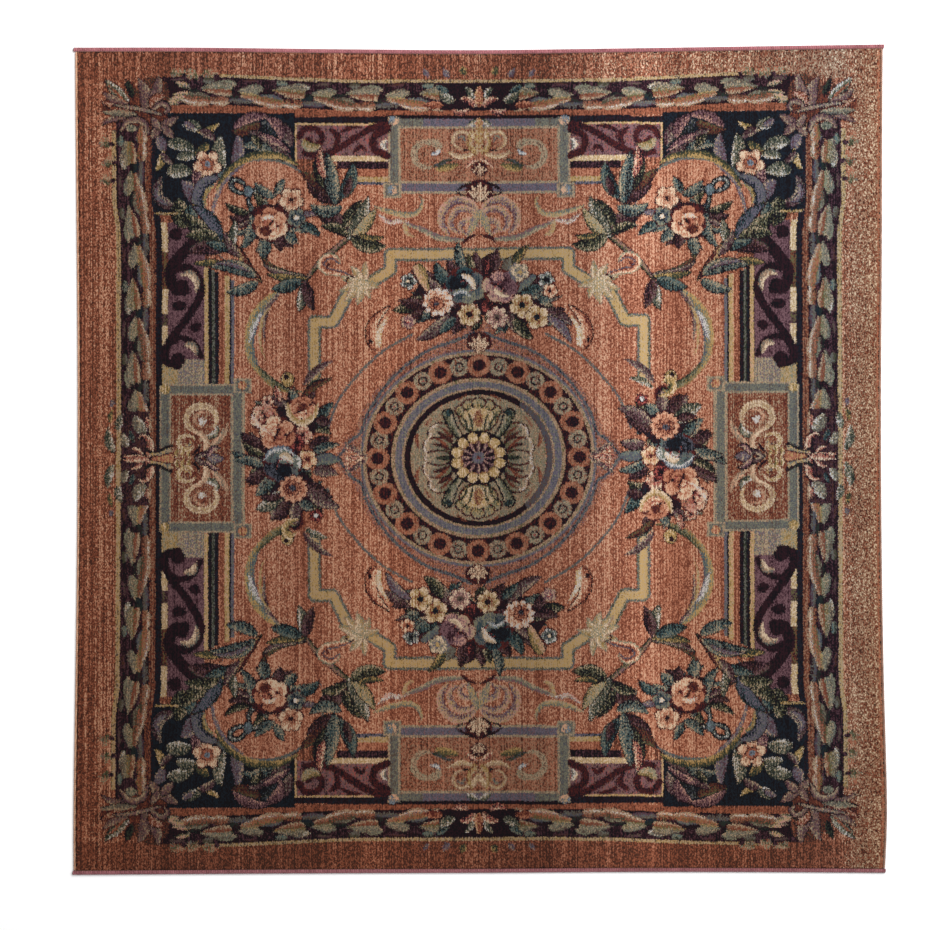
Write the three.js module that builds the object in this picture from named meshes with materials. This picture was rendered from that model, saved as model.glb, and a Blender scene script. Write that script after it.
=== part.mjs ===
import * as THREE from 'three';

// Square pile rug with flower garlands, laid flat.
// Millimetres, +Z up. Origin on the underside, below the middle of the rug.
// +X runs across the rug, +Y towards the end that is at the top in the photograph.

// The rug's edge, read from the photograph at 2.466 mm to a pixel.
// Each row of sides gives where the two sides are at a Y. They draw in at the middle.
const sides = [
  { y: -1020, left: -1003, right: 999 },
  { y: -850, left: -1003, right: 1004.5 },
  { y: -510, left: -998, right: 996 },
  { y: -170, left: -994, right: 991 },
  { y: 170, left: -993, right: 990 },
  { y: 510, left: -995, right: 992 },
  { y: 850, left: -998, right: 993 },
  { y: 1020, left: -999, right: 994 },
];
// Each row of ends gives where the two ends are at an X. The top end bows a little.
const ends = [
  { x: -1000, top: 1017, bottom: -1025 },
  { x: -700, top: 1017, bottom: -1023 },
  { x: -330, top: 1013, bottom: -1021 },
  { x: 0, top: 1011, bottom: -1020 },
  { x: 330, top: 1015, bottom: -1018 },
  { x: 660, top: 1020, bottom: -1018 },
  { x: 1000, top: 1025, bottom: -1020 },
];
const stepsPerEdge = 24;

// The pile cloth, and the thin unpiled margin that the edge yarns wrap.
const clothHeight = 8;
const shoulder = 1.2;
const marginLow = 2.7;
const marginHigh = 5.3;
const marginSideInset = 3.5;
const marginEndInset = 3.5;
const clearance = 0.3;

// The rose binding on the two ends, and the wrapped cord of each side.
const bindingWidth = 11;
const bindingHeight = 8.4;
const cordWidth = 6;
const cordHeight = 7.4;
const wallDepth = 3.2;
const edgeRadius = 3.2;
const lipRadius = 0.8;
const roundSteps = 4;
const endRounding = 1.6;
const tipSize = 0.72;

// How far each end of a binding runs past the cloth's corner.
const overhangTopLeft = 2.5;
const overhangTopRight = 1.5;
const overhangBottomLeft = 1;
const overhangBottomRight = 0;

const clothMaterial = new THREE.MeshStandardMaterial({
  name: 'pile', color: 0x6f5140, roughness: 0.95, metalness: 0,
});
const bindingMaterial = new THREE.MeshStandardMaterial({
  name: 'binding', color: 0xa8686c, roughness: 0.85, metalness: 0,
});
const cordMaterial = new THREE.MeshStandardMaterial({
  name: 'side_cord', color: 0xa06e52, roughness: 0.9, metalness: 0,
});

// One edge as a function: the coordinate across it at a coordinate along it.
function edgeLine(rows, along, across) {
  const spline = new THREE.SplineCurve(rows.map((row) => new THREE.Vector2(row[along], row[across])));
  const line = spline.getPoints(96);
  return (value) => {
    const next = line.findIndex((point) => point.x >= value);
    const i = next < 0 ? line.length - 2 : Math.max(next - 1, 0);
    const part = (value - line[i].x) / (line[i + 1].x - line[i].x);
    return THREE.MathUtils.lerp(line[i].y, line[i + 1].y, part);
  };
}

const endAt = { top: edgeLine(ends, 'x', 'top'), bottom: edgeLine(ends, 'x', 'bottom') };
const sideAt = { left: edgeLine(sides, 'y', 'left'), right: edgeLine(sides, 'y', 'right') };
const inward = { top: -1, bottom: 1, left: 1, right: -1 };

// A corner of the rug's edge, moved inwards from its side and from its end.
function corner(side, end, fromSide, fromEnd) {
  let x = 0;
  let y = 0;
  for (let pass = 0; pass < 6; pass += 1) {
    x = sideAt[side](y) + inward[side] * fromSide;
    y = endAt[end](x) + inward[end] * fromEnd;
  }
  return new THREE.Vector2(x, y);
}

// Points along one end, left to right, moved inwards.
function alongEnd(end, fromSide, fromEnd) {
  const from = corner('left', end, fromSide, fromEnd);
  const to = corner('right', end, fromSide, fromEnd);
  return Array.from({ length: stepsPerEdge + 1 }, (_, i) => {
    const x = THREE.MathUtils.lerp(from.x, to.x, i / stepsPerEdge);
    return new THREE.Vector2(x, endAt[end](x) + inward[end] * fromEnd);
  });
}

// Points along one side, bottom to top, moved inwards.
function alongSide(side, fromSide, fromEnd) {
  const from = corner(side, 'bottom', fromSide, fromEnd);
  const to = corner(side, 'top', fromSide, fromEnd);
  return Array.from({ length: stepsPerEdge + 1 }, (_, i) => {
    const y = THREE.MathUtils.lerp(from.y, to.y, i / stepsPerEdge);
    return new THREE.Vector2(sideAt[side](y) + inward[side] * fromSide, y);
  });
}

// The whole outline, moved inwards, once round with each corner used once.
function outline(fromSide, fromEnd) {
  const edges = [
    alongEnd('bottom', fromSide, fromEnd),
    alongSide('right', fromSide, fromEnd),
    alongEnd('top', fromSide, fromEnd).reverse(),
    alongSide('left', fromSide, fromEnd).reverse(),
  ];
  return edges.flatMap((edge) => edge.slice(0, -1));
}

// A closed solid through rings of equal length. The first and last rings are filled,
// with the triangles of the flat section.
function loft(rings, section) {
  const count = section.length;
  const last = (rings.length - 1) * count;
  const vertices = rings.flat().flatMap((point) => [point.x, point.y, point.z]);
  const triangles = [];
  for (let ring = 0; ring < rings.length - 1; ring += 1) {
    for (let i = 0; i < count; i += 1) {
      const a = ring * count + i;
      const b = ring * count + ((i + 1) % count);
      triangles.push([a, b, b + count], [a, b + count, a + count]);
    }
  }
  const fill = THREE.ShapeUtils.triangulateShape(section, []);
  const turned = THREE.ShapeUtils.area(section) < 0;
  for (const [a, b, c] of fill) {
    const forward = turned ? [a, b, c] : [c, b, a];
    triangles.push(forward, forward.map((i) => i + last).reverse());
  }

  let volume = 0;
  const at = (i) => new THREE.Vector3().fromArray(vertices, 3 * i);
  for (const [a, b, c] of triangles) {
    volume += at(a).dot(at(b).cross(at(c)));
  }
  const outward = volume > 0 ? triangles : triangles.map(([a, b, c]) => [c, b, a]);

  const geometry = new THREE.BufferGeometry();
  geometry.setAttribute('position', new THREE.Float32BufferAttribute(vertices, 3));
  geometry.setIndex(outward.flat());
  geometry.computeVertexNormals();
  return geometry;
}

// The cloth is a block of pile with a thin margin running out of it all round,
// halfway up, into the slots of the edge pieces.
function clothGeometry() {
  const side = cordWidth + clearance;
  const end = bindingWidth + clearance;
  const levels = [
    [side, end, 0],
    [side, end, marginLow],
    [marginSideInset, marginEndInset, marginLow],
    [marginSideInset, marginEndInset, marginHigh],
    [side, end, marginHigh],
    [side, end, clothHeight - shoulder],
    [side + shoulder / 3, end + shoulder / 3, clothHeight - shoulder / 3],
    [side + shoulder, end + shoulder, clothHeight],
  ];
  const rings = levels.map(([fromSide, fromEnd, z]) => (
    outline(fromSide, fromEnd).map((point) => new THREE.Vector3(point.x, point.y, z))
  ));
  return loft(rings, outline(side, end));
}

// The section of an edge piece: x is the distance in from the rug's edge, y the height.
// It is rounded outside, flat on the floor, and has a slot for the cloth's margin.
function wrapSection(width, height) {
  const points = [];
  const rounded = (centreX, centreY, radius, from, to) => {
    for (let i = 0; i <= roundSteps; i += 1) {
      const angle = from + ((to - from) * i) / roundSteps;
      points.push(new THREE.Vector2(
        centreX + radius * Math.cos(angle),
        centreY + radius * Math.sin(angle),
      ));
    }
  };
  const slotLow = marginLow - clearance;
  const slotHigh = marginHigh + clearance;
  points.push(new THREE.Vector2(wallDepth, slotHigh));
  points.push(new THREE.Vector2(wallDepth, slotLow));
  points.push(new THREE.Vector2(width, slotLow));
  points.push(new THREE.Vector2(width, 0));
  points.push(new THREE.Vector2(edgeRadius, 0));
  rounded(edgeRadius, edgeRadius, edgeRadius, -Math.PI / 2 - 0.5, -Math.PI);
  rounded(edgeRadius, height - edgeRadius, edgeRadius, Math.PI, Math.PI / 2);
  rounded(width - lipRadius, height - lipRadius, lipRadius, Math.PI / 2, 0);
  points.push(new THREE.Vector2(width, slotHigh));
  return points;
}

// A binding along one end. Its two tips shrink, which rounds them off.
function bindingGeometry(end, overhangLeft, overhangRight) {
  const section = wrapSection(bindingWidth, bindingHeight);
  const left = corner('left', end, 0, 0).x - overhangLeft;
  const right = corner('right', end, 0, 0).x + overhangRight;
  const stations = [[left - endRounding, tipSize]];
  for (let i = 0; i <= stepsPerEdge; i += 1) {
    stations.push([THREE.MathUtils.lerp(left, right, i / stepsPerEdge), 1]);
  }
  stations.push([right + endRounding, tipSize]);
  const middle = new THREE.Vector2(bindingWidth / 2, bindingHeight / 2);
  const rings = stations.map(([x, size]) => section.map((point) => {
    const shrunk = point.clone().sub(middle).multiplyScalar(size).add(middle);
    return new THREE.Vector3(x, endAt[end](x) + inward[end] * shrunk.x, shrunk.y);
  }));
  return loft(rings, section);
}

// A wrapped cord along one side, from one binding to the other.
function cordGeometry(side) {
  const section = wrapSection(cordWidth, cordHeight);
  const lines = section.map((point) => alongSide(side, point.x, bindingWidth + clearance));
  const rings = lines[0].map((_, i) => section.map((point, k) => (
    new THREE.Vector3(lines[k][i].x, lines[k][i].y, point.y)
  )));
  return loft(rings, section);
}

function piece(name, geometry, material) {
  const mesh = new THREE.Mesh(geometry, material);
  mesh.name = name;
  return mesh;
}

const topBinding = bindingGeometry('top', overhangTopLeft, overhangTopRight);
const bottomBinding = bindingGeometry('bottom', overhangBottomLeft, overhangBottomRight);

const rug = new THREE.Group();
rug.name = 'rug';
rug.add(
  piece('pile_cloth', clothGeometry(), clothMaterial),
  piece('end_binding_top', topBinding, bindingMaterial),
  piece('end_binding_bottom', bottomBinding, bindingMaterial),
  piece('side_cord_left', cordGeometry('left'), cordMaterial),
  piece('side_cord_right', cordGeometry('right'), cordMaterial),
);

export default rug;
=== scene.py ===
import math

import bpy
import numpy as np
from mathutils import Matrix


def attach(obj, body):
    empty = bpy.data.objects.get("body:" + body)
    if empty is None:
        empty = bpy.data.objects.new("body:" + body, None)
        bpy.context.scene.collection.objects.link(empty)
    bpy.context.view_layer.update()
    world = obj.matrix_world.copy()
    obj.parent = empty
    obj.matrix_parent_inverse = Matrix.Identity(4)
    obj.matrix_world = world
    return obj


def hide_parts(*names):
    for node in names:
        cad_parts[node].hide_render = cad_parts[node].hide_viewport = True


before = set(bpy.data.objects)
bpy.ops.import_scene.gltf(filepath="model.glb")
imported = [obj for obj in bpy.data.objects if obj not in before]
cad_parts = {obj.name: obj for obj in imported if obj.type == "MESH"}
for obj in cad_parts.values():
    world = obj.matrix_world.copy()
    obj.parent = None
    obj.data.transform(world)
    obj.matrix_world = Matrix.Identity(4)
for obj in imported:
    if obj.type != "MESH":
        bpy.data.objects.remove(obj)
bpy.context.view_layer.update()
scene = bpy.context.scene

# The chart: what colour each knot of the pile has, worked out before anything is built.
# Lengths in it are pixels of the photograph, x to the right and y down.

face = {
    "left": 79.8, "right": 879.1, "top": 54.6, "bottom": 869.0,
    "columns": 1440, "rows": 1024,  # knots across and along
    "middleX": 480.0, "middleY": 460.0,  # the layout mirrors about this point
    "seed": 7,
    "shake": 0.55,  # how far a knot may stray from its place
}

# The grain of the dyed wool: how large its parts are, in knots, and how much each counts.
wool = {
    "near": (0.55, 0.45, 0.25),  # a fleck takes after the knot below, beside and across from it
    "lot": 90,  # rows from one tone of a dye lot to the next
    "rib": 5.2, "sway": 1.5, "swayEvery": 37,
    "ofStreak": 0.34, "ofLot": 0.4, "ofRib": 0.09, "ofLotInFlecks": 0.12,
}

# Yarn colours as they look in the photograph, 0 to 255.
yarns = {
    "ink": (20, 16, 20), "navy": (24, 31, 39), "pine": (38, 44, 38), "wine": (44, 22, 28),
    "oxblood": (82, 34, 30), "plum": (80, 52, 58), "umber": (72, 43, 33), "brick": (106, 57, 41),
    "rust": (135, 78, 56), "terracotta": (156, 96, 72), "salmon": (180, 122, 95),
    "peach": (202, 156, 126), "cream": (212, 186, 156), "white": (196, 188, 180),
    "beige": (170, 146, 118), "gold": (174, 142, 92), "ochre": (136, 108, 66),
    "olive": (94, 86, 56), "moss": (60, 60, 44), "sage": (124, 121, 99), "stone": (100, 98, 89),
    "slate": (76, 76, 84), "lavender": (108, 97, 108), "mauve": (116, 84, 87),
    "teal": (48, 68, 71), "sea": (82, 98, 95), "sky": (114, 124, 132), "pink": (186, 140, 124),
    "rose": (152, 76, 68), "tan": (145, 110, 87), "drab": (86, 72, 61), "fawn": (120, 89, 73),
}
yarnNumber = {name: number for number, name in enumerate(yarns)}

# Runs of yarns from dark to light. A shape picks along one by its shading and the grain.
runs = {
    "field": "brick brick rust rust terracotta terracotta salmon salmon peach",
    "band": "umber brick brick rust rust terracotta salmon peach",
    "bandRight": "umber brick rust tan rust tan beige tan cream",
    "medal": "umber brick rust fawn terracotta mauve salmon tan",
    "panel": "umber brick rust tan terracotta tan salmon",
    "roundel": "brick rust terracotta salmon salmon peach cream",
    "night": "ink ink ink navy navy navy",
    "dark": "ink ink wine navy",
    "wine": "ink ink wine wine",
    "pinkMauve": "wine plum mauve mauve fawn pink",
    "goldStrap": "ochre gold beige gold gold beige",
    "goldLine": "ochre gold beige gold peach",
    "sageLine": "drab ochre beige gold beige",
    "paleLine": "stone tan beige sage beige",
    "slateBar": "drab stone slate stone sage stone",
    "mauveBar": "slate lavender lavender slate mauve",
    "leafDark": "ink ink pine moss olive sage beige",
    "leafGold": "pine moss olive ochre gold",
    "leafSage": "pine moss stone sage beige white",
    "leafTeal": "ink pine teal teal sea sage stone",
    "leafSea": "ink teal stone sea sage beige",
    "leafWine": "ink wine wine umber plum mauve drab",
    "leafMauve": "wine plum drab mauve stone beige",
    "leafBrown": "wine umber brick moss olive",
    "petalPeach": "oxblood rust terracotta salmon peach cream",
    "petalPink": "wine rose fawn salmon pink cream",
    "petalGold": "olive ochre gold gold cream",
    "petalOrange": "oxblood rust terracotta salmon gold peach",
    "petalBlue": "ink ink navy slate stone sea sage white",
    "petalNavy": "ink ink navy teal slate stone sage",
    "petalMauve": "wine plum mauve mauve pink beige",
    "petalWhite": "slate lavender sage beige cream",
    "petalWine": "ink wine wine oxblood rose",
    "fanBeige": "fawn tan beige peach cream cream",
    "shell": "plum mauve lavender tan beige gold pink",
    "lavender": "plum slate lavender stone lavender mauve beige",
    "scroll": "tan beige beige gold cream",
    "scrollSage": "drab tan beige beige sage",
    "scrollOlive": "pine moss olive sage ochre",
    "ringBlue": "slate lavender slate stone lavender sage",
    "ringBeige": "olive tan beige tan",
    "guilloche": "brick rust tan terracotta salmon",
    "disc": "stone sage beige tan sage olive tan beige",
    "terraLine": "umber brick rust rust terracotta",
    "terraSide": "wine umber brick brick rust tan",
    "panelDark": "umber oxblood brick rust brick rust tan beige",
    "palmette": "plum drab mauve fawn tan stone beige",
    "garlandRed": "oxblood brick rust terracotta salmon",
    "garlandPale": "drab stone sage beige white",
}

# Ways that a shape takes its light: base, tilt to one side, crown, ribs and their slant.
shades = {
    "flat": (0.5, 0.0, 0.0, 0.0, 0.0),
    "across": (0.5, 0.47, 0.0, 0.0, 0.0),
    "round": (0.1, 0.0, 0.75, 0.0, 0.0),
    "rim": (0.95, 0.0, -0.75, 0.0, 0.0),
    "side": (0.5, 0.42, 0.0, 0.0, 0.0),
    "ribbed": (0.42, 0.12, 0.1, 0.36, 0.7),
    "veined": (0.5, 0.3, -0.2, 0.22, 0.8),
    "rimLit": (0.5, -0.5, -0.05, 0.0, 0.0),
}

# How wide a ribbon is from its start to its end.
tapers = {
    "band": lambda t: np.ones_like(t),
    "leaf": lambda t: np.sin(np.pi * np.clip(t, 0, 1) ** 0.85) ** 0.75,
    "flame": lambda t: np.sin(np.pi * np.clip(t, 0, 1) ** 0.55) ** 0.8,
    "club": lambda t: 0.4 + 0.6 * t,
    "reed": lambda t: np.sin(np.pi * np.clip(t, 0, 1)) ** 0.45,
}

four = ((1, 1), (-1, 1), (1, -1), (-1, -1))
halfTurn = ((1, 1), (-1, -1))
leftRight = ((1, 1), (-1, 1))
once = ((1, 1),)


# A table's rows, each with its columns' names.
def rowsOf(table):
    return [dict(zip(table["columns"], row)) for row in table["rows"]]


# The same order of values, spread evenly from 0 to 1.
def evenOut(values):
    order = np.argsort(values, axis=None, kind="stable")
    ranks = np.empty(values.size)
    ranks[order] = (np.arange(values.size) + 0.5) / values.size
    return ranks.reshape(values.shape)


def yarnNames(run):
    return (runs[run] if run in runs else run).split()


def yarnRun(run):
    return np.array([yarnNumber[name] for name in yarnNames(run)], np.uint8)


# Points a gap apart on a curve, or on straight lines, through the given ones.
def smoothLine(points, gap=1.0):
    spots = np.array(points, float)
    ends = np.vstack([2 * spots[0] - spots[1], spots, 2 * spots[-1] - spots[-2]])
    parts = []
    for a, b, c, d in zip(ends, ends[1:], ends[2:], ends[3:]):
        t = np.linspace(0, 1, max(2, int(np.hypot(*(c - b)) / gap)), endpoint=False)[:, None]
        parts.append(0.5 * (2 * b + (c - a) * t + (2 * a - 5 * b + 4 * c - d) * t ** 2
                            + (3 * b - a - 3 * c + d) * t ** 3))
    return np.vstack([*parts, spots[-1:]])


def straightLine(points):
    spots = np.array(points, float)
    parts = []
    for b, c in zip(spots, spots[1:]):
        t = np.linspace(0, 1, max(2, int(np.hypot(*(c - b)))), endpoint=False)[:, None]
        parts.append(b + (c - b) * t)
    return np.vstack([*parts, spots[-1:]])


class Chart:
    def __init__(self, face):
        rng = np.random.default_rng(face["seed"])
        rows, columns = face["rows"], face["columns"]
        self.face = face
        self.x = face["left"] + (np.arange(columns) + 0.5) * (face["right"] - face["left"]) / columns
        self.y = face["top"] + (np.arange(rows) + 0.5) * (face["bottom"] - face["top"]) / rows
        self.yarn = np.zeros((rows, columns), np.uint8)
        # single flecks, ribs a few knots wide, and streaks and dye lots that run along the warp
        fleck = rng.random((rows + 1, columns + 1))
        below, beside, across = wool["near"]
        fleck = fleck[:-1, :-1] + below * fleck[1:, :-1] + beside * fleck[:-1, 1:] + across * fleck[1:, 1:]
        streak = rng.random(columns + 1)
        streak = streak[:-1] + streak[1:]
        lots = rng.random((rows // wool["lot"] + 3, columns + 1))
        at = np.arange(rows) / wool["lot"]
        low = at.astype(int)
        part = (at - low)[:, None]
        lots = lots[low] * (1 - part) + lots[low + 1] * part
        lots = lots[:, :-1] + lots[:, 1:]
        sway = wool["sway"] * np.sin(np.arange(columns) / wool["swayEvery"])
        ribs = np.cos(2 * np.pi * np.arange(columns) / wool["rib"] + sway)
        self.grain = evenOut(evenOut(fleck) + wool["ofStreak"] * evenOut(streak)[None, :]
                             + wool["ofLot"] * evenOut(lots) + wool["ofRib"] * ribs[None, :])
        self.flecks = evenOut(evenOut(fleck) + wool["ofLotInFlecks"] * evenOut(lots))
        self.strayX = (rng.random((rows, columns)) - 0.5) * 2 * face["shake"]
        self.strayY = (rng.random((rows, columns)) - 0.5) * 2 * face["shake"]

    # Dyes the knots of a box where the shape's mask holds, and of its mirrored copies.
    def fill(self, box, shape, run, spread=0.9, copies=four, loose=1.7, grain=None):
        grain = self.grain if grain is None else grain
        x0, y0, x1, y1 = box
        picked = yarnRun(run)
        mx, my = self.face["middleX"], self.face["middleY"]
        room = 1.0  # for knots that stray into the box
        for sx, sy in copies:
            ax, bx = sorted((mx + sx * (x0 - mx), mx + sx * (x1 - mx)))
            ay, by = sorted((my + sy * (y0 - my), my + sy * (y1 - my)))
            c0, c1 = np.searchsorted(self.x, (ax - room, bx + room))
            r0, r1 = np.searchsorted(self.y, (ay - room, by + room))
            if c1 <= c0 or r1 <= r0:
                continue
            x = mx + sx * (self.x[None, c0:c1] + loose * self.strayX[r0:r1, c0:c1] - mx)
            y = my + sy * (self.y[r0:r1, None] + loose * self.strayY[r0:r1, c0:c1] - my)
            mask, value = shape(x, y)
            level = np.clip(value + (grain[r0:r1, c0:c1] - 0.5) * spread, 0, 0.9999)
            yarn = picked[(level * len(picked)).astype(int)]
            part = self.yarn[r0:r1, c0:c1]
            part[mask] = yarn[mask]

    def block(self, x0, y0, x1, y1, run, spread=0.9, copies=four):
        def shape(x, y):
            return (x >= x0) & (x <= x1) & (y >= y0) & (y <= y1), np.full(x.shape, 0.5)
        self.fill((x0, y0, x1, y1), shape, run, spread, copies, 1.0)

    # Ground with slow streaks. With a fade, its knots thicken from one x to another.
    def ground(self, x0, y0, x1, y1, run, low, fade=None):
        def shape(x, y):
            value = low + 0.05 * np.sin(x / 7.3) + 0.045 * np.sin(x / 19.1 + 1.3) + 0.03 * np.sin(y / 23 + x / 61)
            inside = (x >= x0) & (x <= x1) & (y >= y0) & (y <= y1)
            if fade:
                scatter = np.abs(np.sin(x * 12.99 + y * 78.23) * 437.58) % 1
                inside &= scatter < (x - fade[0]) / (fade[1] - fade[0])
            return inside, value
        self.fill((x0, y0, x1, y1), shape, run, 1.0, once, grain=self.flecks if fade else None)

    # A stroke along a line, shaded across, with an outline of another run under it.
    def ribbon(self, points, width, run, taper, shade, ribs=0,
               edge=None, edgeWidth=1.2, square=False, spread=0.8, copies=four):
        line = straightLine(points) if square else smoothLine(points)
        share = np.concatenate([[0], np.cumsum(np.hypot(*np.diff(line, axis=0).T))])
        share = share / share[-1]
        tangent = np.gradient(line, axis=0)
        reach = width / 2 + (edgeWidth if edge else 0) + 1.5
        base, tilt, crown, rib, slant = shades[shade]
        stretch = 36  # the line's points that are searched at a time

        def nearest(x, y):
            best = np.full(x.shape, 1e9)
            index = np.zeros(x.shape, int)
            for start in range(0, len(line), stretch):
                part = line[start:start + stretch + 1]
                x0, y0 = part.min(0) - reach
                x1, y1 = part.max(0) + reach
                near = (x >= x0) & (x <= x1) & (y >= y0) & (y <= y1)
                if not near.any():
                    continue
                away = (x[near][:, None] - part[:, 0]) ** 2 + (y[near][:, None] - part[:, 1]) ** 2
                k = away.argmin(1)
                found = away[np.arange(len(k)), k]
                better = found < best[near]
                rows, columns = np.nonzero(near)
                best[rows[better], columns[better]] = found[better]
                index[rows[better], columns[better]] = k[better] + start
            return np.sqrt(best), index

        def shape(x, y, grow=0.0):
            away, index = nearest(x, y)
            t = share[index]
            half = width / 2 * tapers[taper](t) + 1e-6
            cross = tangent[index, 0] * (y - line[index, 1]) - tangent[index, 1] * (x - line[index, 0])
            s = np.clip(np.sign(cross) * away / half, -1, 1)
            value = base + tilt * s + crown * (1 - np.abs(s))
            if ribs:
                value = value + rib * np.cos(2 * np.pi * (ribs * t - slant * np.abs(s)))
            return away <= half + grow, value

        box = (*(line.min(0) - reach), *(line.max(0) + reach))
        if edge:
            self.fill(box, lambda x, y: shape(x, y, edgeWidth), edge, spread, copies)
        self.fill(box, shape, run, spread, copies)

    # An oval of two radii.
    def disc(self, x, y, rx, ry, run, turn=0, lean=(0, 0), base=0.5, rim=0.0, hole=0.0,
             edge=None, edgeWidth=1.1, spread=0.8, copies=four):
        cosTurn, sinTurn = math.cos(math.radians(turn)), math.sin(math.radians(turn))

        def shape(px, py, grow=0.0):
            p = ((px - x) * cosTurn + (py - y) * sinTurn) / (rx + grow)
            q = ((py - y) * cosTurn - (px - x) * sinTurn) / (ry + grow)
            far = np.sqrt(p * p + q * q)
            value = base + lean[0] * (px - x) / rx + lean[1] * (py - y) / ry + rim * (far - 0.5) * 2
            return (far <= 1) & (far >= (0 if grow else hole)), value

        reach = max(rx, ry) + edgeWidth
        box = (x - reach, y - reach, x + reach, y + reach)
        if edge:
            self.fill(box, lambda px, py: shape(px, py, edgeWidth), edge, spread, copies)
        self.fill(box, shape, run, spread, copies)

    # An open flower: petals are waves of its outline, darker between and towards the heart.
    def bloom(self, x, y, radius, petals, run, heart, heartRadius, turn=0, flat=1.0, deep=0.3, copies=four):
        edgeWidth, spread = 1.2, 0.7

        def shape(px, py, grow=0.0):
            far = np.hypot(px - x, (py - y) / flat)
            angle = np.arctan2((py - y) / flat, px - x) - math.radians(turn)
            wave = np.abs(np.cos(petals * angle / 2))
            reach = radius * (1 - deep + deep * wave ** 0.7) + grow
            return far <= reach, 0.1 + 0.75 * far / reach + 0.35 * (wave - 0.6)

        reach = radius + 1.5
        box = (x - reach, y - reach, x + reach, y + reach)
        self.fill(box, lambda px, py: shape(px, py, edgeWidth), "wine ink wine oxblood", spread, copies)
        self.fill(box, shape, run, spread, copies)
        if heart:
            self.disc(x, y, heartRadius, heartRadius * flat, heart, rim=0.4, copies=copies)

    # A rose: rounds of petals, each a crescent that is paler at its rim. Sizes are shares of the radius.
    def rose(self, x, y, radius, run, turn, copies=four):
        names = yarnNames(run)
        flat = 0.92
        rounds = {
            "columns": ("petals", "far", "wide", "half", "shift", "edge"),
            "rows": (
                (6, 0.76, 0.52, 32, 0, None), (4, 0.48, 0.4, 44, 40, None), (2, 0.2, 0.26, 74, 10, "petalWine"),
            ),
        }
        self.bloom(x, y, radius * 1.04, 5, "ink wine wine oxblood", None, 0, turn, flat, deep=0.14, copies=copies)
        for petal in rowsOf(rounds):
            for k in range(petal["petals"]):
                middle = turn + petal["shift"] + 360 * k / petal["petals"] + 9 * math.sin(5 * k + turn)
                lit = 0.5 + 0.5 * math.cos(math.radians(middle - turn - 30))
                low = round(lit * (len(names) - 4))
                arc = []
                for step in range(-2, 3):
                    a = math.radians(middle + step * petal["half"] / 2)
                    reach = radius * petal["far"] * (1 - 0.05 * step * step / 4 + 0.05 * math.sin(3 * k + turn))
                    arc.append((x + reach * math.cos(a), y + reach * math.sin(a) * flat))
                self.ribbon(arc, petal["wide"] * radius, " ".join(names[low:low + 4]), "reed", "rimLit",
                            ribs=2.5 if k % 2 else 3.5, edge=petal["edge"], edgeWidth=0.8, spread=0.85,
                            copies=copies)

    # Leaves that spread all round from one place.
    def foliage(self, x, y, rx, ry, count, start, kinds, wide, copies=four):
        for k in range(count):
            a = math.radians(start + 360 * k / count + 8 * math.sin(7.3 * k))
            long = 0.82 + 0.18 * math.sin(4.1 * k + start)
            tipX, tipY = x + rx * long * math.cos(a), y + ry * long * math.sin(a)
            tailX, tailY = x + 0.3 * rx * math.cos(a), y + 0.3 * ry * math.sin(a)
            bend = 0.12 if k % 2 else -0.12
            middle = (tailX + tipX) / 2 - bend * (tipY - tailY), (tailY + tipY) / 2 + bend * (tipX - tailX)
            self.ribbon([(tailX, tailY), middle, (tipX, tipY)], wide * (0.85 + 0.3 * math.sin(2.7 * k + 1)),
                        kinds[k % len(kinds)], "flame", "veined", ribs=max(rx, ry) / 5,
                        edge="ink wine ink", edgeWidth=0.9, copies=copies)

    def ring(self, x, y, inner, outer, run, squash, low=0.5, high=0.5):
        def shape(px, py):
            far = np.hypot(px - x, (py - y) / squash)
            return (far >= inner) & (far <= outer), low + (high - low) * (far - inner) / (outer - inner)
        self.fill((x - outer, y - outer * squash, x + outer, y + outer * squash), shape, run, 0.9, once, 1.2)


chart = Chart(face)

# What each kind of row says.
rowKinds = {
    "leaf": ("tailX", "tailY", "tipX", "tipY", "wide", "bow", "yarns"),
    "scroll": ("points", "wide", "yarns", "taper", "shade", "edge"),
    "bloom": ("x", "y", "size", "petals", "yarns", "heart", "heartSize", "turn"),
    "bed": ("x", "y", "rx", "ry", "count", "start"),
}


def tableOf(kind, *rows):
    return {"columns": rowKinds[kind], "rows": rows}


# An arc from tail to tip that bows to its left by a share of its length.
def bowed(x0, y0, x1, y1, bow, count=7):
    points = []
    for k in range(count):
        t = k / (count - 1)
        out = 4 * t * (1 - t) * bow
        points.append((x0 + (x1 - x0) * t + (y1 - y0) * out, y0 + (y1 - y0) * t - (x1 - x0) * out))
    return points


def drawLeaves(table, copies=four, edge=None):
    for leaf in rowsOf(table):
        points = bowed(leaf["tailX"], leaf["tailY"], leaf["tipX"], leaf["tipY"], leaf["bow"])
        long = math.hypot(leaf["tipX"] - leaf["tailX"], leaf["tipY"] - leaf["tailY"])
        chart.ribbon(points, leaf["wide"], leaf["yarns"], "leaf", "veined", ribs=long / 3.6,
                     edge=edge, edgeWidth=1.0, copies=copies)


def drawBars(table):
    for bar in rowsOf(table):
        chart.block(bar["x0"], bar["y0"], bar["x1"], bar["y1"], bar["yarns"])


def drawScrolls(table):
    for scroll in rowsOf(table):
        chart.ribbon(scroll["points"], scroll["wide"], scroll["yarns"], scroll["taper"], scroll["shade"],
                     edge=scroll.get("edge"))


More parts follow.
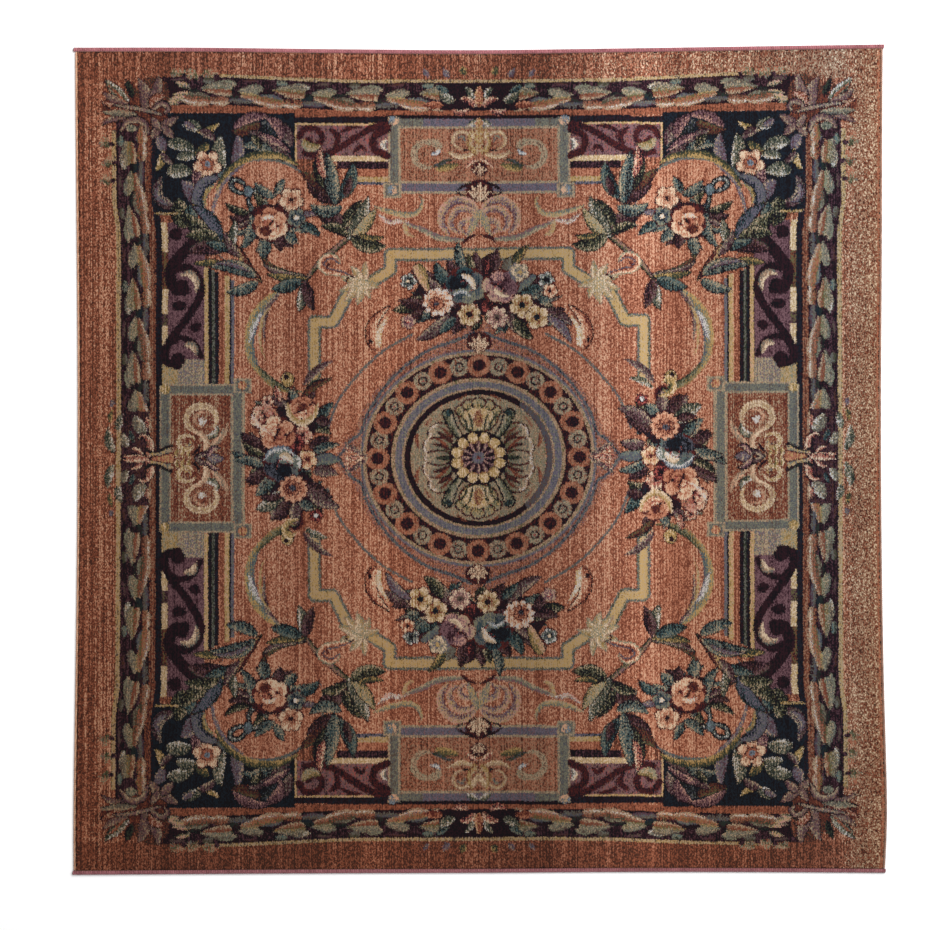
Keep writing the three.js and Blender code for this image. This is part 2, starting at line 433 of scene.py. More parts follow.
# The plain band round the pattern is darker at the ends and greyer at the right; the bottom end's darkest yarns are
# partly painted shade, where less light falls.
def layGrounds():
    left, top, right, bottom = face["left"], face["top"], face["right"], face["bottom"]
    band = {
        "columns": ("x0", "y0", "x1", "y1", "yarns", "low", "fade"),
        "rows": (
            (left, top, right, bottom, "band", 0.44, None), (left, top, 850, 80, "band", 0.37, None),
            (520, top, 850, 80, "bandRight", 0.42, (520, 840)),
            # the lowest level, at the bottom end, is partly painted shade
            (842, top, right, bottom, "bandRight", 0.48, (842, 858)), (left, 842, 850, bottom, "band", 0.27, None),
            (842, 842, right, bottom, "bandRight", 0.4, (842, 858)),
        ),
    }
    for part in rowsOf(band):
        chart.ground(part["x0"], part["y0"], part["x1"], part["y1"], part["yarns"], part["low"], part["fade"])
    # painted highlight: a lighter column along the right edge lifts the shade that falls in the groove beside the
    # cord
    chart.block(right - 2, top, right, bottom, "rust terracotta tan salmon", copies=once)
    field = (231, 180, 729, 740)
    chart.ground(*field, "field", 0.5)
    oddThreads = {
        "columns": ("x", "yarns"),
        "rows": (
            (84, "umber rust brick umber"), (93, "rust brick umber rust"), (100, "salmon peach rust salmon brick"),
        ),
    }
    for thread in rowsOf(oddThreads):
        chart.block(thread["x"], top + 10, thread["x"] + 1.1, bottom - 8, thread["yarns"], copies=once)


# The border lines step outwards near the corners, as in the photograph.
def stepX(y):
    return 4 * np.clip((232 - y) / 30, 0, 1)


def stepY(x):
    return 5 * np.clip((350 - x) / 120, 0, 1)


# Lines that run up the sides: x from and to, y from and to.
sideLines = {
    "columns": ("x0", "x1", "y0", "y1", "yarns"),
    "rows": (
        (116, 120.5, 130, 460, "sageLine"), (120.5, 148, 118, 460, "ink ink wine wine plum"),
        (147.6, 149.6, 118, 460, "ink wine"), (149.6, 155.8, 112, 460, "terraSide"),
        (155.8, 162.5, 112, 460, "ink ink navy wine navy"), (162, 168, 222, 252, "beige gold cream"),
        (162, 168, 288, 314, "beige gold cream"), (162, 168, 325, 347, "beige gold cream"),
        (162, 168, 252, 288, "wine brick olive"), (162, 168, 314, 325, "wine plum olive"),
        (162, 168, 347, 380, "stone beige gold"),
    ),
}
stripLines = {  # between the side panels and the field
    "columns": ("x0", "y0", "x1", "y1", "yarns"),
    "rows": (
        (204.5, 262, 208.5, 384, "goldLine"), (208.5, 268, 212, 388, "dark"), (212, 270, 215, 388, "pine moss stone"),
        (215, 272, 219, 388, "dark"), (219, 274, 225, 388, "brick rust salmon"), (225, 276, 229.8, 388, "goldLine"),
        (229.8, 278, 231.4, 388, "dark"), (231.4, 280, 234.5, 388, "slate lavender stone"),
        (168, 360, 204.5, 386, "stone lavender fawn beige sage beige"), (162, 364, 178, 386, "ochre gold beige sage"),
    ),
}
# Lines that run along the ends: y from and to, x from and to.
endLines = {
    "columns": ("y0", "y1", "x0", "x1", "yarns"),
    "rows": (
        (78.3, 81.4, 186, 480, "sageLine"), (81.4, 107.4, 155, 480, "ink ink wine wine plum"),
        (107.2, 109.2, 163, 480, "ink ink wine"), (109.2, 116.2, 163, 480, "terraLine"),
    ),
}
panelLines = {
    "columns": ("x0", "y0", "x1", "y1", "yarns"),
    "rows": (
        (328, 115, 389, 118.5, "dark"), (296, 116, 389, 122.5, "dark"), (296, 122, 389, 124, "goldLine"),
        (295, 122, 298, 160, "goldLine"), (298, 124, 389, 158, "wine plum mauve fawn mauve mauve rose"),
        (330, 155, 389, 160.5, "beige gold cream"), (338, 160.5, 389, 168, "ink ink wine plum"),
        (350, 168, 389, 176, "brick rust terracotta salmon"), (350, 176, 389, 181, "ochre gold beige"),
        (350, 181, 389, 184, "navy slate lavender"),
        # the cartouche at the end
        (389, 114, 480, 118, "ink ink wine"), (389, 117.5, 428, 125.5, "slateBar"),
        (424, 117.5, 480, 125.5, "mauveBar"), (400, 125, 480, 127.5, "paleLine"), (389, 116, 401, 194, "slateBar"),
        (389, 116, 391, 190, "paleLine"), (399, 124, 401.5, 182, "paleLine"), (401.5, 127.5, 480, 180.5, "panel"),
        (399, 180, 480, 182.5, "paleLine"), (399, 182.5, 480, 190.5, "mauveBar"), (399, 190, 480, 192.5, "paleLine"),
        (384, 182, 402, 197, "paleLine"), (386.5, 184, 399.5, 195, "slateBar"),
        # the cartouche at the side
        (161, 386, 170.5, 460, "slateBar"), (161, 386, 236, 395, "slateBar"), (170, 395, 232, 460, "panel"),
        (159.5, 386, 161.5, 460, "paleLine"), (169, 394, 171.5, 460, "paleLine"), (169, 394, 233, 396.5, "paleLine"),
        (165, 384.5, 236, 386.5, "paleLine"), (231, 396, 234, 460, "paleLine"), (234, 386, 242, 460, "slateBar"),
        (242, 386, 245.5, 460, "paleLine"), (234, 379, 252, 394, "paleLine"), (236.5, 381, 249.5, 392, "slateBar"),
    ),
}


def drawFrames():
    for line in rowsOf(sideLines):
        def along(x, y, line=line):
            x = x + stepX(y)
            return (x >= line["x0"]) & (x <= line["x1"]) & (y >= line["y0"]), np.full(x.shape, 0.5)
        chart.fill((line["x0"] - 5, line["y0"], line["x1"], line["y1"]), along, line["yarns"], 0.9, four, 1.0)
    for line in rowsOf(endLines):
        def across(x, y, line=line):
            y = y + stepY(x)
            return (y >= line["y0"]) & (y <= line["y1"]) & (x >= line["x0"]), np.full(x.shape, 0.5)
        chart.fill((line["x0"], line["y0"] - 6, line["x1"], line["y1"]), across, line["yarns"], 0.9, four, 1.0)
    chart.block(168, 222, 205, 362, "wine plum plum mauve plum mauve mauve")
    drawBars(stripLines)
    drawBars(panelLines)
    chart.block(156, 112, 296, 215, "night", spread=0.8)


# The garland between the border lines: two leaf groups in turn, pointing to the corners.
# s runs from the middle of a side to the corner, t from the outer line inwards.
garland = {
    "step": 73.2,
    "columns": ("points", "wide", "taper", "yarns", "others"),
    "rows": (
        (((-54, 24), (-40, 24.5), (-28, 24)), 6, "reed", "drab stone slate plum", "slate drab stone wine"),
        (((-42, 16), (-34, 17.5), (-27, 19)), 8, "leaf", "ink pine navy", "ink wine pine"),
        (((-30, 24), (-18, 24.5), (-9, 23.5), (-3, 20.5)), 10, "flame",
         "wine brick rust olive terracotta tan stone beige", "umber rust drab terracotta fawn tan beige"),
        (((-29, 26.4), (-15, 26.6), (-8, 24.5), (-4, 21.5)), 1.9, "leaf", "beige white peach", "tan beige white"),
        (((-38, 7), (-26, 5.5), (-17, 5.5)), 6, "leaf", "stone beige white sage", "sage stone beige"),
        (((-36, 11), (-18, 10.5)), 3, "leaf", "ink wine", "ink pine"),
        (((-34, 10), (-20, 9), (-8, 10), (0.5, 11.5)), 10, "flame", "drab stone beige sage olive drab ochre",
         "drab sage stone beige stone olive"),
        (((-33, 16), (-20, 15), (-8, 13.5), (-2, 12.5)), 6.5, "flame", "olive brick rust tan beige",
         "brick rust fawn beige"),
        (((-15, 2.8), (-3, 3.2)), 5.5, "reed", "pine stone sage sea", "moss drab stone"),
        (((-10, 21.5), (2, 20), (14, 18)), 9, "leaf", "slate stone sage drab", "drab sage stone beige"),
        (((-12, 25), (4, 24), (17, 21), (28, 18.2), (38, 15.4)), 10.5, "flame",
         "olive brick rust terracotta ochre terracotta tan stone beige",
         "moss brick rust drab terracotta fawn tan beige"),
        (((-12, 27.2), (6, 26.2), (19, 23.4), (30, 19.4)), 1.9, "leaf", "mauve beige white peach",
         "beige white tan"),
        (((9, 11), (19, 11.3), (28, 12.8), (37, 15)), 9.5, "flame", "drab stone sage beige stone drab sage",
         "stone sage drab beige olive sage"),
        (((12, 17), (24, 16.4), (35, 15.4)), 2.4, "leaf", "gold olive tan", "olive brick"),
        (((-2, 13.5), (6, 14), (15, 15)), 4.5, "leaf", "ink wine ink", "ink pine wine"),
        (((5, 5), (12, 5.2)), 4.5, "reed", "beige white sage", "stone sage"),
        (((32, 4), (39, 4)), 5, "reed", "brick rust oxblood", "brick terracotta"),
        (((14, 2), (30, 3)), 2.5, "reed", "umber plum", "plum drab"),
    ),
}


def drawGarland():
    # one side's row: how s and t become x and y, how long it is, where it starts
    def leafRow(toX, toY, long, start, turned):
        for k in range(-1, int(long / garland["step"]) + 2):
            for leaf in rowsOf(garland):
                line = smoothLine(leaf["points"], 3.0)
                line = [(start + k * garland["step"] + s, t) for s, t in line]
                points = [(toX(s, t), toY(s, t)) for s, t in line if 22 < s < long]
                if len(points) > 3:
                    run = yarnNames(leaf["others"] if k % 2 else leaf["yarns"])
                    run = " ".join(run[::-1] if turned else run)
                    chart.ribbon(points, leaf["wide"], run, leaf["taper"], "across", spread=0.72)
    middleX, middleY = face["middleX"], face["middleY"]
    leafRow(lambda s, t: 121.6 + t - float(stepX(middleY - s)), lambda s, t: middleY - s, 338, 35.6, False)
    leafRow(lambda s, t: middleX - s, lambda s, t: 81.6 + 0.95 * t - float(stepY(middleX - s)), 322, 60, True)
    # where the two halves meet in the middle of a side
    lily = tableOf("leaf",
        (118, 432, 122, 415, 8, 0.1, "leafSage"), (146, 434, 135, 416, 13, 0.1, "garlandPale"),
        (147, 430, 147, 417, 5, 0, "petalPink"), (128, 448, 123, 434, 8, 0.1, "garlandPale"),
        (114, 454, 108, 428, 9, 0.1, "leafSage"), (110, 424, 113, 410, 5, 0.1, "leafGold"),
        (134, 444, 129, 432, 5, 0, "leafTeal"), (112, 408, 111, 400, 5, 0, "lavender"),
    )
    chart.block(121, 412, 149, 460, "ink wine wine plum umber")
    drawLeaves(lily)
    chart.ribbon([(147, 459), (150, 450), (149, 442), (143, 437), (138, 440)], 7.5, "petalPink", "flame", "side",
                 edge="ink wine")
    chart.ribbon([(150, 460), (136, 459.5), (122, 458)], 7, "petalPink", "leaf", "side", edge="ink wine")
    chart.ribbon([(143, 456), (137, 451), (131, 450)], 4, "petalPink", "leaf", "side")
    endLily = tableOf("leaf",
        (480, 106, 480, 84, 9, 0, "petalOrange"), (476, 106, 460, 98, 7, -0.2, "petalPink"),
        (474, 98, 466, 86, 6, -0.1, "leafSage"), (470, 108, 452, 108, 6, 0.2, "petalPink"),
        (456, 100, 440, 90, 9, 0.1, "leafSage"), (450, 92, 436, 84, 6, 0, "leafTeal"),
        (444, 104, 424, 104, 8, 0, "garlandRed"), (466, 74, 462, 66, 7, 0, "leafGold"),
        (450, 76, 444, 68, 6, 0, "lavender"), (430, 76, 424, 68, 5, 0, "lavender"),
    )
    chart.block(440, 82, 480, 109, "ink wine ink")
    drawLeaves(endLily)


def drawCorner():
    chart.disc(173, 89, 17, 8, "ink wine ink wine")
    tips = {
        "columns": ("tailX", "tailY", "tipX", "tipY", "wide"),
        "rows": ((186, 96, 168, 101, 6), (192, 92, 172, 94, 4), (190, 86, 176, 82, 5), (180, 103, 160, 100, 5)),
    }
    for tip in rowsOf(tips):
        chart.ribbon([(tip["tailX"], tip["tailY"]), (tip["tipX"], tip["tipY"])], tip["wide"],
                     "moss stone beige gold pink", "leaf", "side")
    chart.disc(130, 128, 9, 14, "ink wine wine plum")
    chart.disc(150, 101, 19, 26, "wine umber brick pine rust", turn=20)
    chart.disc(134, 110, 34, 14, "wine umber brick oxblood rust", turn=10)
    # palmette over the corner of the frame
    petals = tableOf("leaf",
        (130, 102, 106, 79, 10, 0.03, "leafSage"), (134, 97, 127, 79, 7, 0, "ink pine moss"),
        (144, 111, 139, 78, 11, -0.14, "palmette"), (149, 101, 159, 75, 10, -0.14, "palmette"),
        (152, 108, 166, 95, 8, 0.25, "brick rust pink beige"), (129, 103, 104, 91, 6.6, 0.1, "palmette"),
        (140, 108, 102, 101, 7, 0.08, "brick rust pink beige tan"), (138, 118, 102, 124.5, 6.6, -0.12, "palmette"),
        (138, 114, 102, 111.5, 6.4, 0, "drab stone sage beige tan"),
    )
    drawLeaves(petals, edge="ink wine oxblood")
    lines = tableOf("scroll",
        (((127, 102), (108, 84)), 2.6, "brick rust terracotta", "leaf", "flat"),
        (((121, 131), (127, 122), (136, 119), (145, 123), (149, 134)), 6, "palmette", "reed", "side", "ink wine"),
        (((152, 114), (156, 106), (164, 103), (169, 108), (165, 113)), 4.6, "palmette", "reed", "side", "ink wine"),
        (((114, 105), (130, 106.5), (144, 109), (163, 114)), 3.4, "mauve tan stone beige", "reed", "flat",
         "ink wine"),
    )
    drawScrolls(lines)
    chart.disc(132, 128, 5.4, 3.8, "moss stone sage beige")
    for x, y, turn in ((179, 72, 0), (196, 74, 30), (212, 72, 0), (106, 141, 70), (109, 160, 100), (107, 178, 80)):
        chart.disc(x, y, 8, 3.6, "moss olive sage rust beige terracotta", turn=turn, lean=(0.2, -0.3))
        chart.disc(x + 6, y + 3, 3, 2.4, "ink wine plum")
        chart.disc(x - 5, y + 3, 2.6, 2, "stone rust sage", turn=turn)
    star = tableOf("leaf",
        (159, 128, 179, 116, 8.4, 0, "palmette"), (160, 126, 174, 137.5, 8, 0.1, "palmette"),
        (161, 125, 151, 138.5, 8, 0, "palmette"), (160, 129, 152, 116, 7, 0, "palmette"),
    )
    drawLeaves(star, edge="ink wine")
    sprigs = tableOf("leaf",
        (183, 123, 203, 131, 10.8, 0.1, "leafSage"), (184, 121, 196, 128, 6, 0, "lavender"),
        (198, 131, 220, 122, 6, -0.1, "petalGold"), (200, 130, 216, 140, 8.4, 0.1, "leafMauve"),
        (157, 136, 164, 153, 10.8, 0.1, "lavender"), (164, 150, 156, 171, 7.2, 0.1, "petalGold"),
        (162, 152, 176, 165, 6, -0.1, "leafMauve"), (168, 143, 196, 153, 13.2, 0.12, "leafSage"),
        (177, 158, 198, 157, 9.6, 0.1, "leafSage"), (167, 173, 193, 173, 14.4, 0.1, "leafSage"),
        (196, 156, 210, 142, 9.6, 0, "leafGold"), (210, 156, 226, 146, 8.4, 0, "leafGold"),
        (225, 168, 222, 134, 13.2, 0.12, "leafSage"), (233, 168, 238, 133, 12, -0.1, "lavender"),
        (244, 162, 230, 172, 9.6, 0.1, "leafSea"), (204, 188, 194, 170, 14.4, 0, "petalMauve"),
        (205, 186, 206, 170, 7.2, 0, "petalGold"), (196, 204, 182, 181, 14.4, -0.1, "lavender"),
        (178, 207, 162, 176, 10.8, 0.35, "leafMauve"), (168, 204, 160, 184, 6, 0.3, "lavender"),
        (184, 228, 178, 198, 19.2, 0, "leafDark"), (192, 224, 190, 204, 12, 0, "leafTeal"),
        (262, 121, 232, 129, 10.8, 0.15, "leafBrown"), (290, 148, 262, 122, 21.6, -0.1, "ink pine navy slate stone"),
        (278, 122, 292, 146, 12, 0.1, "leafMauve"), (234, 128, 272, 116, 9.6, 0.15, "pinkMauve"),
        (268, 117, 282, 140, 10.8, 0.2, "pinkMauve"), (250, 130, 298, 168, 12, 0.05, "leafMauve"),
        (262, 134, 292, 152, 7.2, 0.05, "petalMauve"), (244, 146, 276, 158, 9.6, 0.2, "leafSea"),
        (252, 136, 262, 148, 7.2, 0.1, "leafDark"),
    )
    drawLeaves(sprigs, edge="ink ink navy")
    chart.ribbon([(156, 213), (166, 213.5), (178, 213)], 2, "gold ochre beige", "band", "flat")
    chart.ribbon([(219, 177), (206, 186), (200, 198), (200, 213)], 17, "lavender", "reed", "side", ribs=9,
                 edge="ink wine")
    chart.ribbon([(217, 180), (208, 189), (204, 199), (204, 210)], 7, "leafGold", "leaf", "side", ribs=6)
    chart.bloom(208, 164, 14, 5, "oxblood rust salmon tan peach cream", "slate sky", 3, turn=20, deep=0.42)
    chart.bloom(208, 164, 6, 5, "oxblood rust terracotta", "slate sky", 3, turn=56)
    # the roundel's rim and ground
    chart.disc(263, 214, 62, 57, "slate sea stone drab", base=0.5)
    chart.disc(264, 216, 60, 56, "roundel", base=0.42)
    chart.ribbon([(216, 190), (226, 174), (240, 162), (256, 155), (280, 155), (300, 164)], 8, "leafGold",
                 "reed", "side")
    chart.ribbon([(212, 226), (214, 206), (222, 186), (234, 172), (246, 163)], 4, "lavender", "reed", "round")


def drawRoundel():
    bow = tableOf("scroll",
        (((249, 190), (242, 181), (233, 180), (232, 187), (240, 192), (249, 192)), 4.4, "petalBlue", "reed",
         "round", "ink navy"),
        (((248, 190), (258, 191), (266, 194), (272, 190)), 6, "petalBlue", "reed", "round", "ink navy"),
        (((250, 192), (250, 204), (258, 210), (264, 204), (256, 197)), 4, "petalBlue", "reed", "round", "ink navy"),
    )
    drawScrolls(bow)
    chart.disc(249, 191, 4, 5.4, "slate sea sky", edge="ink navy")
    kinds = ("leafSea", "leafWine", "leafTeal", "leafDark", "leafSea", "leafWine")
    chart.foliage(269, 224, 42, 35, 14, 15, kinds, 10)
    chart.disc(270, 222, 22, 19, "ink wine wine oxblood")
    around = tableOf("leaf",
        (276, 196, 256, 182, 9, 0.1, "leafSea"), (276, 194, 285, 178, 8, 0, "leafSea"),
        (262, 236, 252, 212, 9, 0.1, "leafWine"), (286, 214, 304, 203, 9, 0.1, "leafWine"),
        (278, 234, 280, 250, 10, 0.1, "leafWine"), (300, 224, 320, 236, 9, 0.1, "leafTeal"),
        (252, 214, 241, 248, 10, 0.15, "leafSea"), (268, 238, 262, 258, 12, 0, "leafSea"),
        (286, 232, 298, 243, 10, 0, "leafSea"), (250, 212, 226, 203, 7, 0.1, "leafDark"),
        (246, 218, 230, 216, 6, 0.1, "leafWine"), (250, 220, 236, 226, 5, 0.1, "leafMauve"),
        (300, 216, 318, 214, 6, 0.1, "lavender"),
    )
    drawLeaves(around, edge="ink wine")
    chart.bloom(292, 199, 12, 5, "oxblood rust salmon tan peach cream", "wine ink", 2.4, turn=20)
    chart.bloom(297, 217, 9.5, 5, "petalNavy", "white cream", 2.4, turn=10)
    chart.rose(271, 223, 17, "petalPeach", 20)
    chart.disc(266, 230, 6, 5, "oxblood wine brick", turn=20)
    chart.ribbon([(262, 219), (270, 216), (278, 220)], 4, "peach cream white", "leaf", "flat")


def drawBranches():
    stems = tableOf("scroll",
        (((219, 177), (205, 182), (198, 193), (198, 206), (206, 216)), 10.4, "navy slate lavender stone slate",
         "reed", "side", "ink wine"),
        (((216, 185), (208, 190), (205, 199), (207, 208)), 3.4, "olive ochre gold sage", "leaf", "flat"),
        (((194, 204), (214, 230), (234, 246), (248, 264), (262, 282)), 6, "leafGold", "reed", "side", "ink wine"),
        (((238, 246), (246, 262), (260, 280)), 7, "oxblood wine tan gold", "leaf", "side", "ink wine"),
        (((362, 234), (350, 237), (336, 248), (320, 262), (306, 280)), 4.4, "moss olive mauve tan", "reed",
         "side", "ink wine"),
        (((340, 262), (334, 256), (326, 257), (321, 263), (326, 270), (336, 272), (350, 275)), 5, "petalPeach",
         "reed", "side", "slate sage"),
        (((330, 262), (326, 268)), 3, "oxblood wine", "leaf", "flat"),
    )
    leaves = tableOf("leaf",
        (214, 234, 184, 212, 15, 0.1, "leafDark"), (222, 240, 194, 206, 12, -0.1, "slate lavender teal navy ink"),
        (220, 240, 186, 236, 13, -0.1, "leafDark"), (226, 250, 188, 252, 14, -0.1, "leafWine"),
        (222, 262, 194, 264, 7, 0, "leafGold"), (236, 250, 206, 242, 9, 0, "leafTeal"),
        (232, 246, 236, 220, 8, 0, "leafSage"), (240, 256, 226, 232, 8, 0.1, "leafMauve"),
        (256, 277, 211, 267, 14, -0.12, "leafSea"), (250, 272, 214, 263, 4, -0.1, "lavender"),
        (258, 281, 227, 292, 11, 0.1, "leafSea"), (306, 275, 262, 256, 7, 0.15, "leafBrown"),
        (306, 276, 264, 264, 7, 0.1, "leafMauve"), (306, 278, 268, 274, 7, 0.05, "leafGold"),
        (302, 280, 272, 289, 12, 0.05, "leafTeal"), (306, 280, 299, 311, 11, 0.05, "leafSage"),
        (306, 280, 314, 309, 11, -0.05, "leafWine"), (350, 236, 318, 214, 18, -0.1, "leafWine"),
        (348, 234, 322, 226, 9, -0.1, "leafDark"), (344, 226, 362, 200, 13, 0, "leafDark"),
        (348, 238, 369, 196, 13, -0.05, "leafSage"), (352, 238, 376, 208, 11, -0.05, "sage beige gold olive moss"),
        (352, 236, 386, 245, 14, -0.12, "leafDark"), (360, 234, 384, 236, 5, -0.1, "leafGold"),
        (342, 206, 311, 204, 11, 0.2, "leafSea"), (342, 200, 308, 184, 11, 0.1, "leafWine"),
        (340, 188, 302, 170, 12, 0.1, "leafBrown"), (336, 192, 316, 158, 12, 0.1, "leafDark"),
        (336, 204, 328, 152, 14, 0, "leafSea"), (340, 198, 354, 162, 13, -0.1, "leafTeal"),
        (326, 178, 322, 146, 8, 0.1, "petalPink"), (346, 196, 352, 176, 7, 0, "leafWine"),
    )
    drawScrolls(stems)
    drawLeaves(leaves, edge="ink wine pine")


def drawPanels():
    # side panel
    bands = tableOf("scroll",
        (((196, 240), (182, 254), (170, 272), (174, 288), (184, 290)), 12, "wine", "band", "flat"),
        (((174, 270), (188, 268), (199, 278), (201, 294), (190, 314), (172, 338), (165, 352)), 8, "wine", "band",
         "flat", None),
        (((165, 350), (166, 362), (178, 366)), 9, "wine", "band", "flat"),
        (((168, 346), (180, 338), (194, 343), (201, 356)), 6, "wine", "band", "flat"),
        (((180, 276), (190, 274), (197, 282), (196, 294)), 7, "stone tan beige cream", "leaf", "side"),
        (((184, 345), (193, 346), (197, 356)), 7, "stone tan beige cream", "leaf", "side"),
    )
    drawScrolls(bands)
    chart.disc(182, 286, 7, 6.5, "wine")
    chart.disc(178, 360, 7.5, 6.5, "wine")
    chart.ribbon([(172, 306), (188, 306)], 11, "wine", "leaf", "flat")
    chart.ribbon([(190, 330), (202, 324)], 10, "wine", "leaf", "flat")
    chart.ribbon([(172, 228), (180, 240)], 14, "wine", "leaf", "flat")
    # end panel
    ends = tableOf("scroll",
        (((300, 136), (306, 128), (318, 128), (323, 138), (316, 145), (309, 139)), 6.5, "wine oxblood wine ink",
         "band", "flat"),
        (((306, 152), (322, 154), (342, 146), (360, 134), (376, 126), (389, 124)), 7, "wine oxblood wine ink",
         "band", "flat"),
        (((330, 127), (339, 136), (334, 147)), 7, "wine oxblood wine ink", "leaf", "flat"),
        (((340, 132), (352, 126), (364, 126)), 5, "wine oxblood wine ink", "leaf", "flat"),
        (((388, 129), (375, 136), (376, 149), (388, 155)), 7.5, "wine oxblood wine ink", "band", "flat"),
        (((354, 152), (362, 146), (368, 152)), 5, "wine oxblood wine ink", "leaf", "flat"),
        (((303, 138), (310, 146), (323, 145)), 9, "olive ochre beige sage", "leaf", "side"),
        (((388, 138), (384, 144), (388, 150)), 5, "stone white cream", "leaf", "side"),
    )
    drawScrolls(ends)


def drawEndCartouche():
    chart.ribbon(arcLine(427.5, 153.5, 12.8, 12.8, 60, 350), 6.2, "scrollSage", "reed", "rim")
    chart.ribbon([(440, 150), (441, 144), (436, 139), (430, 139)], 4, "scrollSage", "leaf", "round")
    chart.ribbon([(441, 148), (438, 152), (431, 153)], 3.6, "sky white white", "leaf", "round")
    chart.ribbon([(432, 166), (440, 163), (448, 159), (456, 159)], 4, "pine moss slate", "leaf", "flat")
    chart.ribbon([(436, 168), (448, 166), (460, 163)], 7.5, "moss olive ochre gold", "leaf", "side")
    chart.ribbon(arcLine(462.5, 139, 8.6, 8.6, 80, 400), 3.8, "scroll", "reed", "round")
    chart.ribbon([(466, 141), (463, 135), (457, 138)], 2.4, "slate stone sage", "leaf", "flat")
    chart.ribbon([(448, 150), (460, 155), (472, 153), (480, 146)], 5, "scroll", "leaf", "side")
    chart.ribbon([(462, 149), (472, 148), (478, 143)], 2.4, "ink wine pine", "leaf", "flat")
    chart.ribbon([(466, 166), (473, 160), (480, 158)], 4, "petalPink", "leaf", "side")
    chart.ribbon([(470, 130), (476, 136), (480, 146)], 6, "scroll", "leaf", "ribbed", ribs=4)
    chart.ribbon([(468, 124), (474, 121), (480, 118)], 6, "leafSage", "leaf", "side")
    chart.ribbon([(480, 128), (480, 116)], 8, "petalOrange", "leaf", "side", copies=leftRight)
    chart.ribbon([(478, 154), (470, 142), (474, 126)], 6, "brick ochre gold beige", "flame", "side")
    chart.ribbon([(480, 152), (480, 116)], 9, "rust ochre gold beige", "leaf", "ribbed", ribs=6, copies=leftRight)
    drawFan(480, 168, 9)
    drawFan(480, 190, 14)
    chart.ribbon([(456, 190), (466, 184), (478, 180)], 3, "ink wine", "leaf", "flat")
    chart.ribbon([(456, 190), (466, 196), (478, 200)], 3, "ink wine", "leaf", "flat")
    chart.disc(394.5, 119.5, 5.2, 4.6, "sky slate beige peach", lean=(0.3, 0.4))
    chart.disc(393, 189, 4.8, 4.8, "sky slate beige peach", lean=(0.4, 0.2))


# Points on an oval's rim, from one angle to another in degrees.
def arcLine(x, y, rx, ry, start, end, count=17):
    turns = [math.radians(start + (end - start) * k / (count - 1)) for k in range(count)]
    return [(x + rx * math.cos(a), y + ry * math.sin(a)) for a in turns]


# Five petals that open upwards on a dark ground.
def drawFan(x, y, size):
    chart.ribbon([(x - size, y + 0.2 * size), (x, y - 0.1 * size), (x + size, y + 0.2 * size)], size * 1.5,
                 "ink wine oxblood", "leaf", "flat")
    for angle in (-66, 66, -34, 34, 0):
        long = size * (1.15 - 0.003 * abs(angle))
        right, up = long * math.sin(math.radians(angle)), long * math.cos(math.radians(angle))
        foot = y + size * 0.4
        chart.ribbon([(x, y + size * 0.7), (x + right / 2, foot - up / 2), (x + right, foot - up)], size * 0.46,
                     "fanBeige", "flame", "flat", edge="wine oxblood", edgeWidth=0.7, spread=1.0)


def drawSideCartouche():
    chart.block(171, 396, 231, 460, "panelDark")
    chart.ribbon(arcLine(201.7, 420, 15.4, 13.4, 95, 400), 6.4, "scroll", "reed", "rim", spread=1.1)
    chart.ribbon(arcLine(203.5, 420, 8.6, 7.4, 100, 320), 3, "tan salmon beige peach", "leaf", "flat")
    chart.ribbon([(218, 426), (216, 434), (208, 438), (200, 436)], 7, "leafSage", "leaf", "side")
    chart.ribbon([(224, 428), (222, 438), (214, 446), (207, 456)], 5.5, "tan stone beige peach", "leaf", "side")
    chart.ribbon([(228, 422), (226, 434), (220, 444)], 3, "beige tan peach", "leaf", "flat")
    chart.ribbon([(199, 418), (202, 423), (207, 420)], 4, "beige white white", "leaf", "flat")
    chart.disc(202, 422.5, 3, 3.6, "beige white white")
    chart.ribbon([(191, 431), (200, 434), (206, 441), (206, 450), (202, 460)], 6, "tan beige peach cream",
                 "reed", "side")
    chart.ribbon(arcLine(186.8, 443.5, 8.4, 7.0, 10, 350), 4.2, "ochre gold beige cream", "reed", "rim")
    chart.ribbon(arcLine(187.5, 444, 3.2, 2.8, -60, 170), 2.2, "stone beige gold", "leaf", "flat")
    chart.ribbon([(191, 440), (195, 445), (193, 450)], 2.6, "oxblood rust", "leaf", "flat")
    chart.ribbon([(191, 457), (197, 452), (201, 445)], 3.4, "ink wine", "leaf", "flat")
    chart.disc(165, 390, 5, 5, "petalGold")
    chart.disc(243, 386, 4.5, 4.5, "petalOrange")
    for x, high in ((178, 10), (184, 13), (190, 8)):
        chart.ribbon([(x, 460 - high), (x - 2, 455), (x, 460)], 3.6, "petalGold", "leaf", "side")
    chart.ribbon([(194, 460), (202, 456), (210, 452)], 4, "leafMauve", "leaf", "side", edge="ink wine")
    chart.ribbon([(206, 460), (214, 458), (224, 460)], 6, "lavender", "leaf", "ribbed", ribs=4, edge="ink wine")
    chart.ribbon([(206, 458), (214, 450), (220, 449)], 5, "petalMauve", "leaf", "side", edge="ink wine")
    # the clasp on the bar's outer edge
    chart.ribbon([(147, 451), (155, 455), (162, 451), (171, 447)], 4, "ink wine pine", "band", "flat")
    chart.ribbon([(151, 456), (160, 455), (170, 450)], 2.8, "stone beige gold", "band", "flat")
    chart.ribbon([(154, 460), (162, 460), (170, 460)], 9, "rust terracotta salmon gold", "club", "flat",
                 edge="wine oxblood")


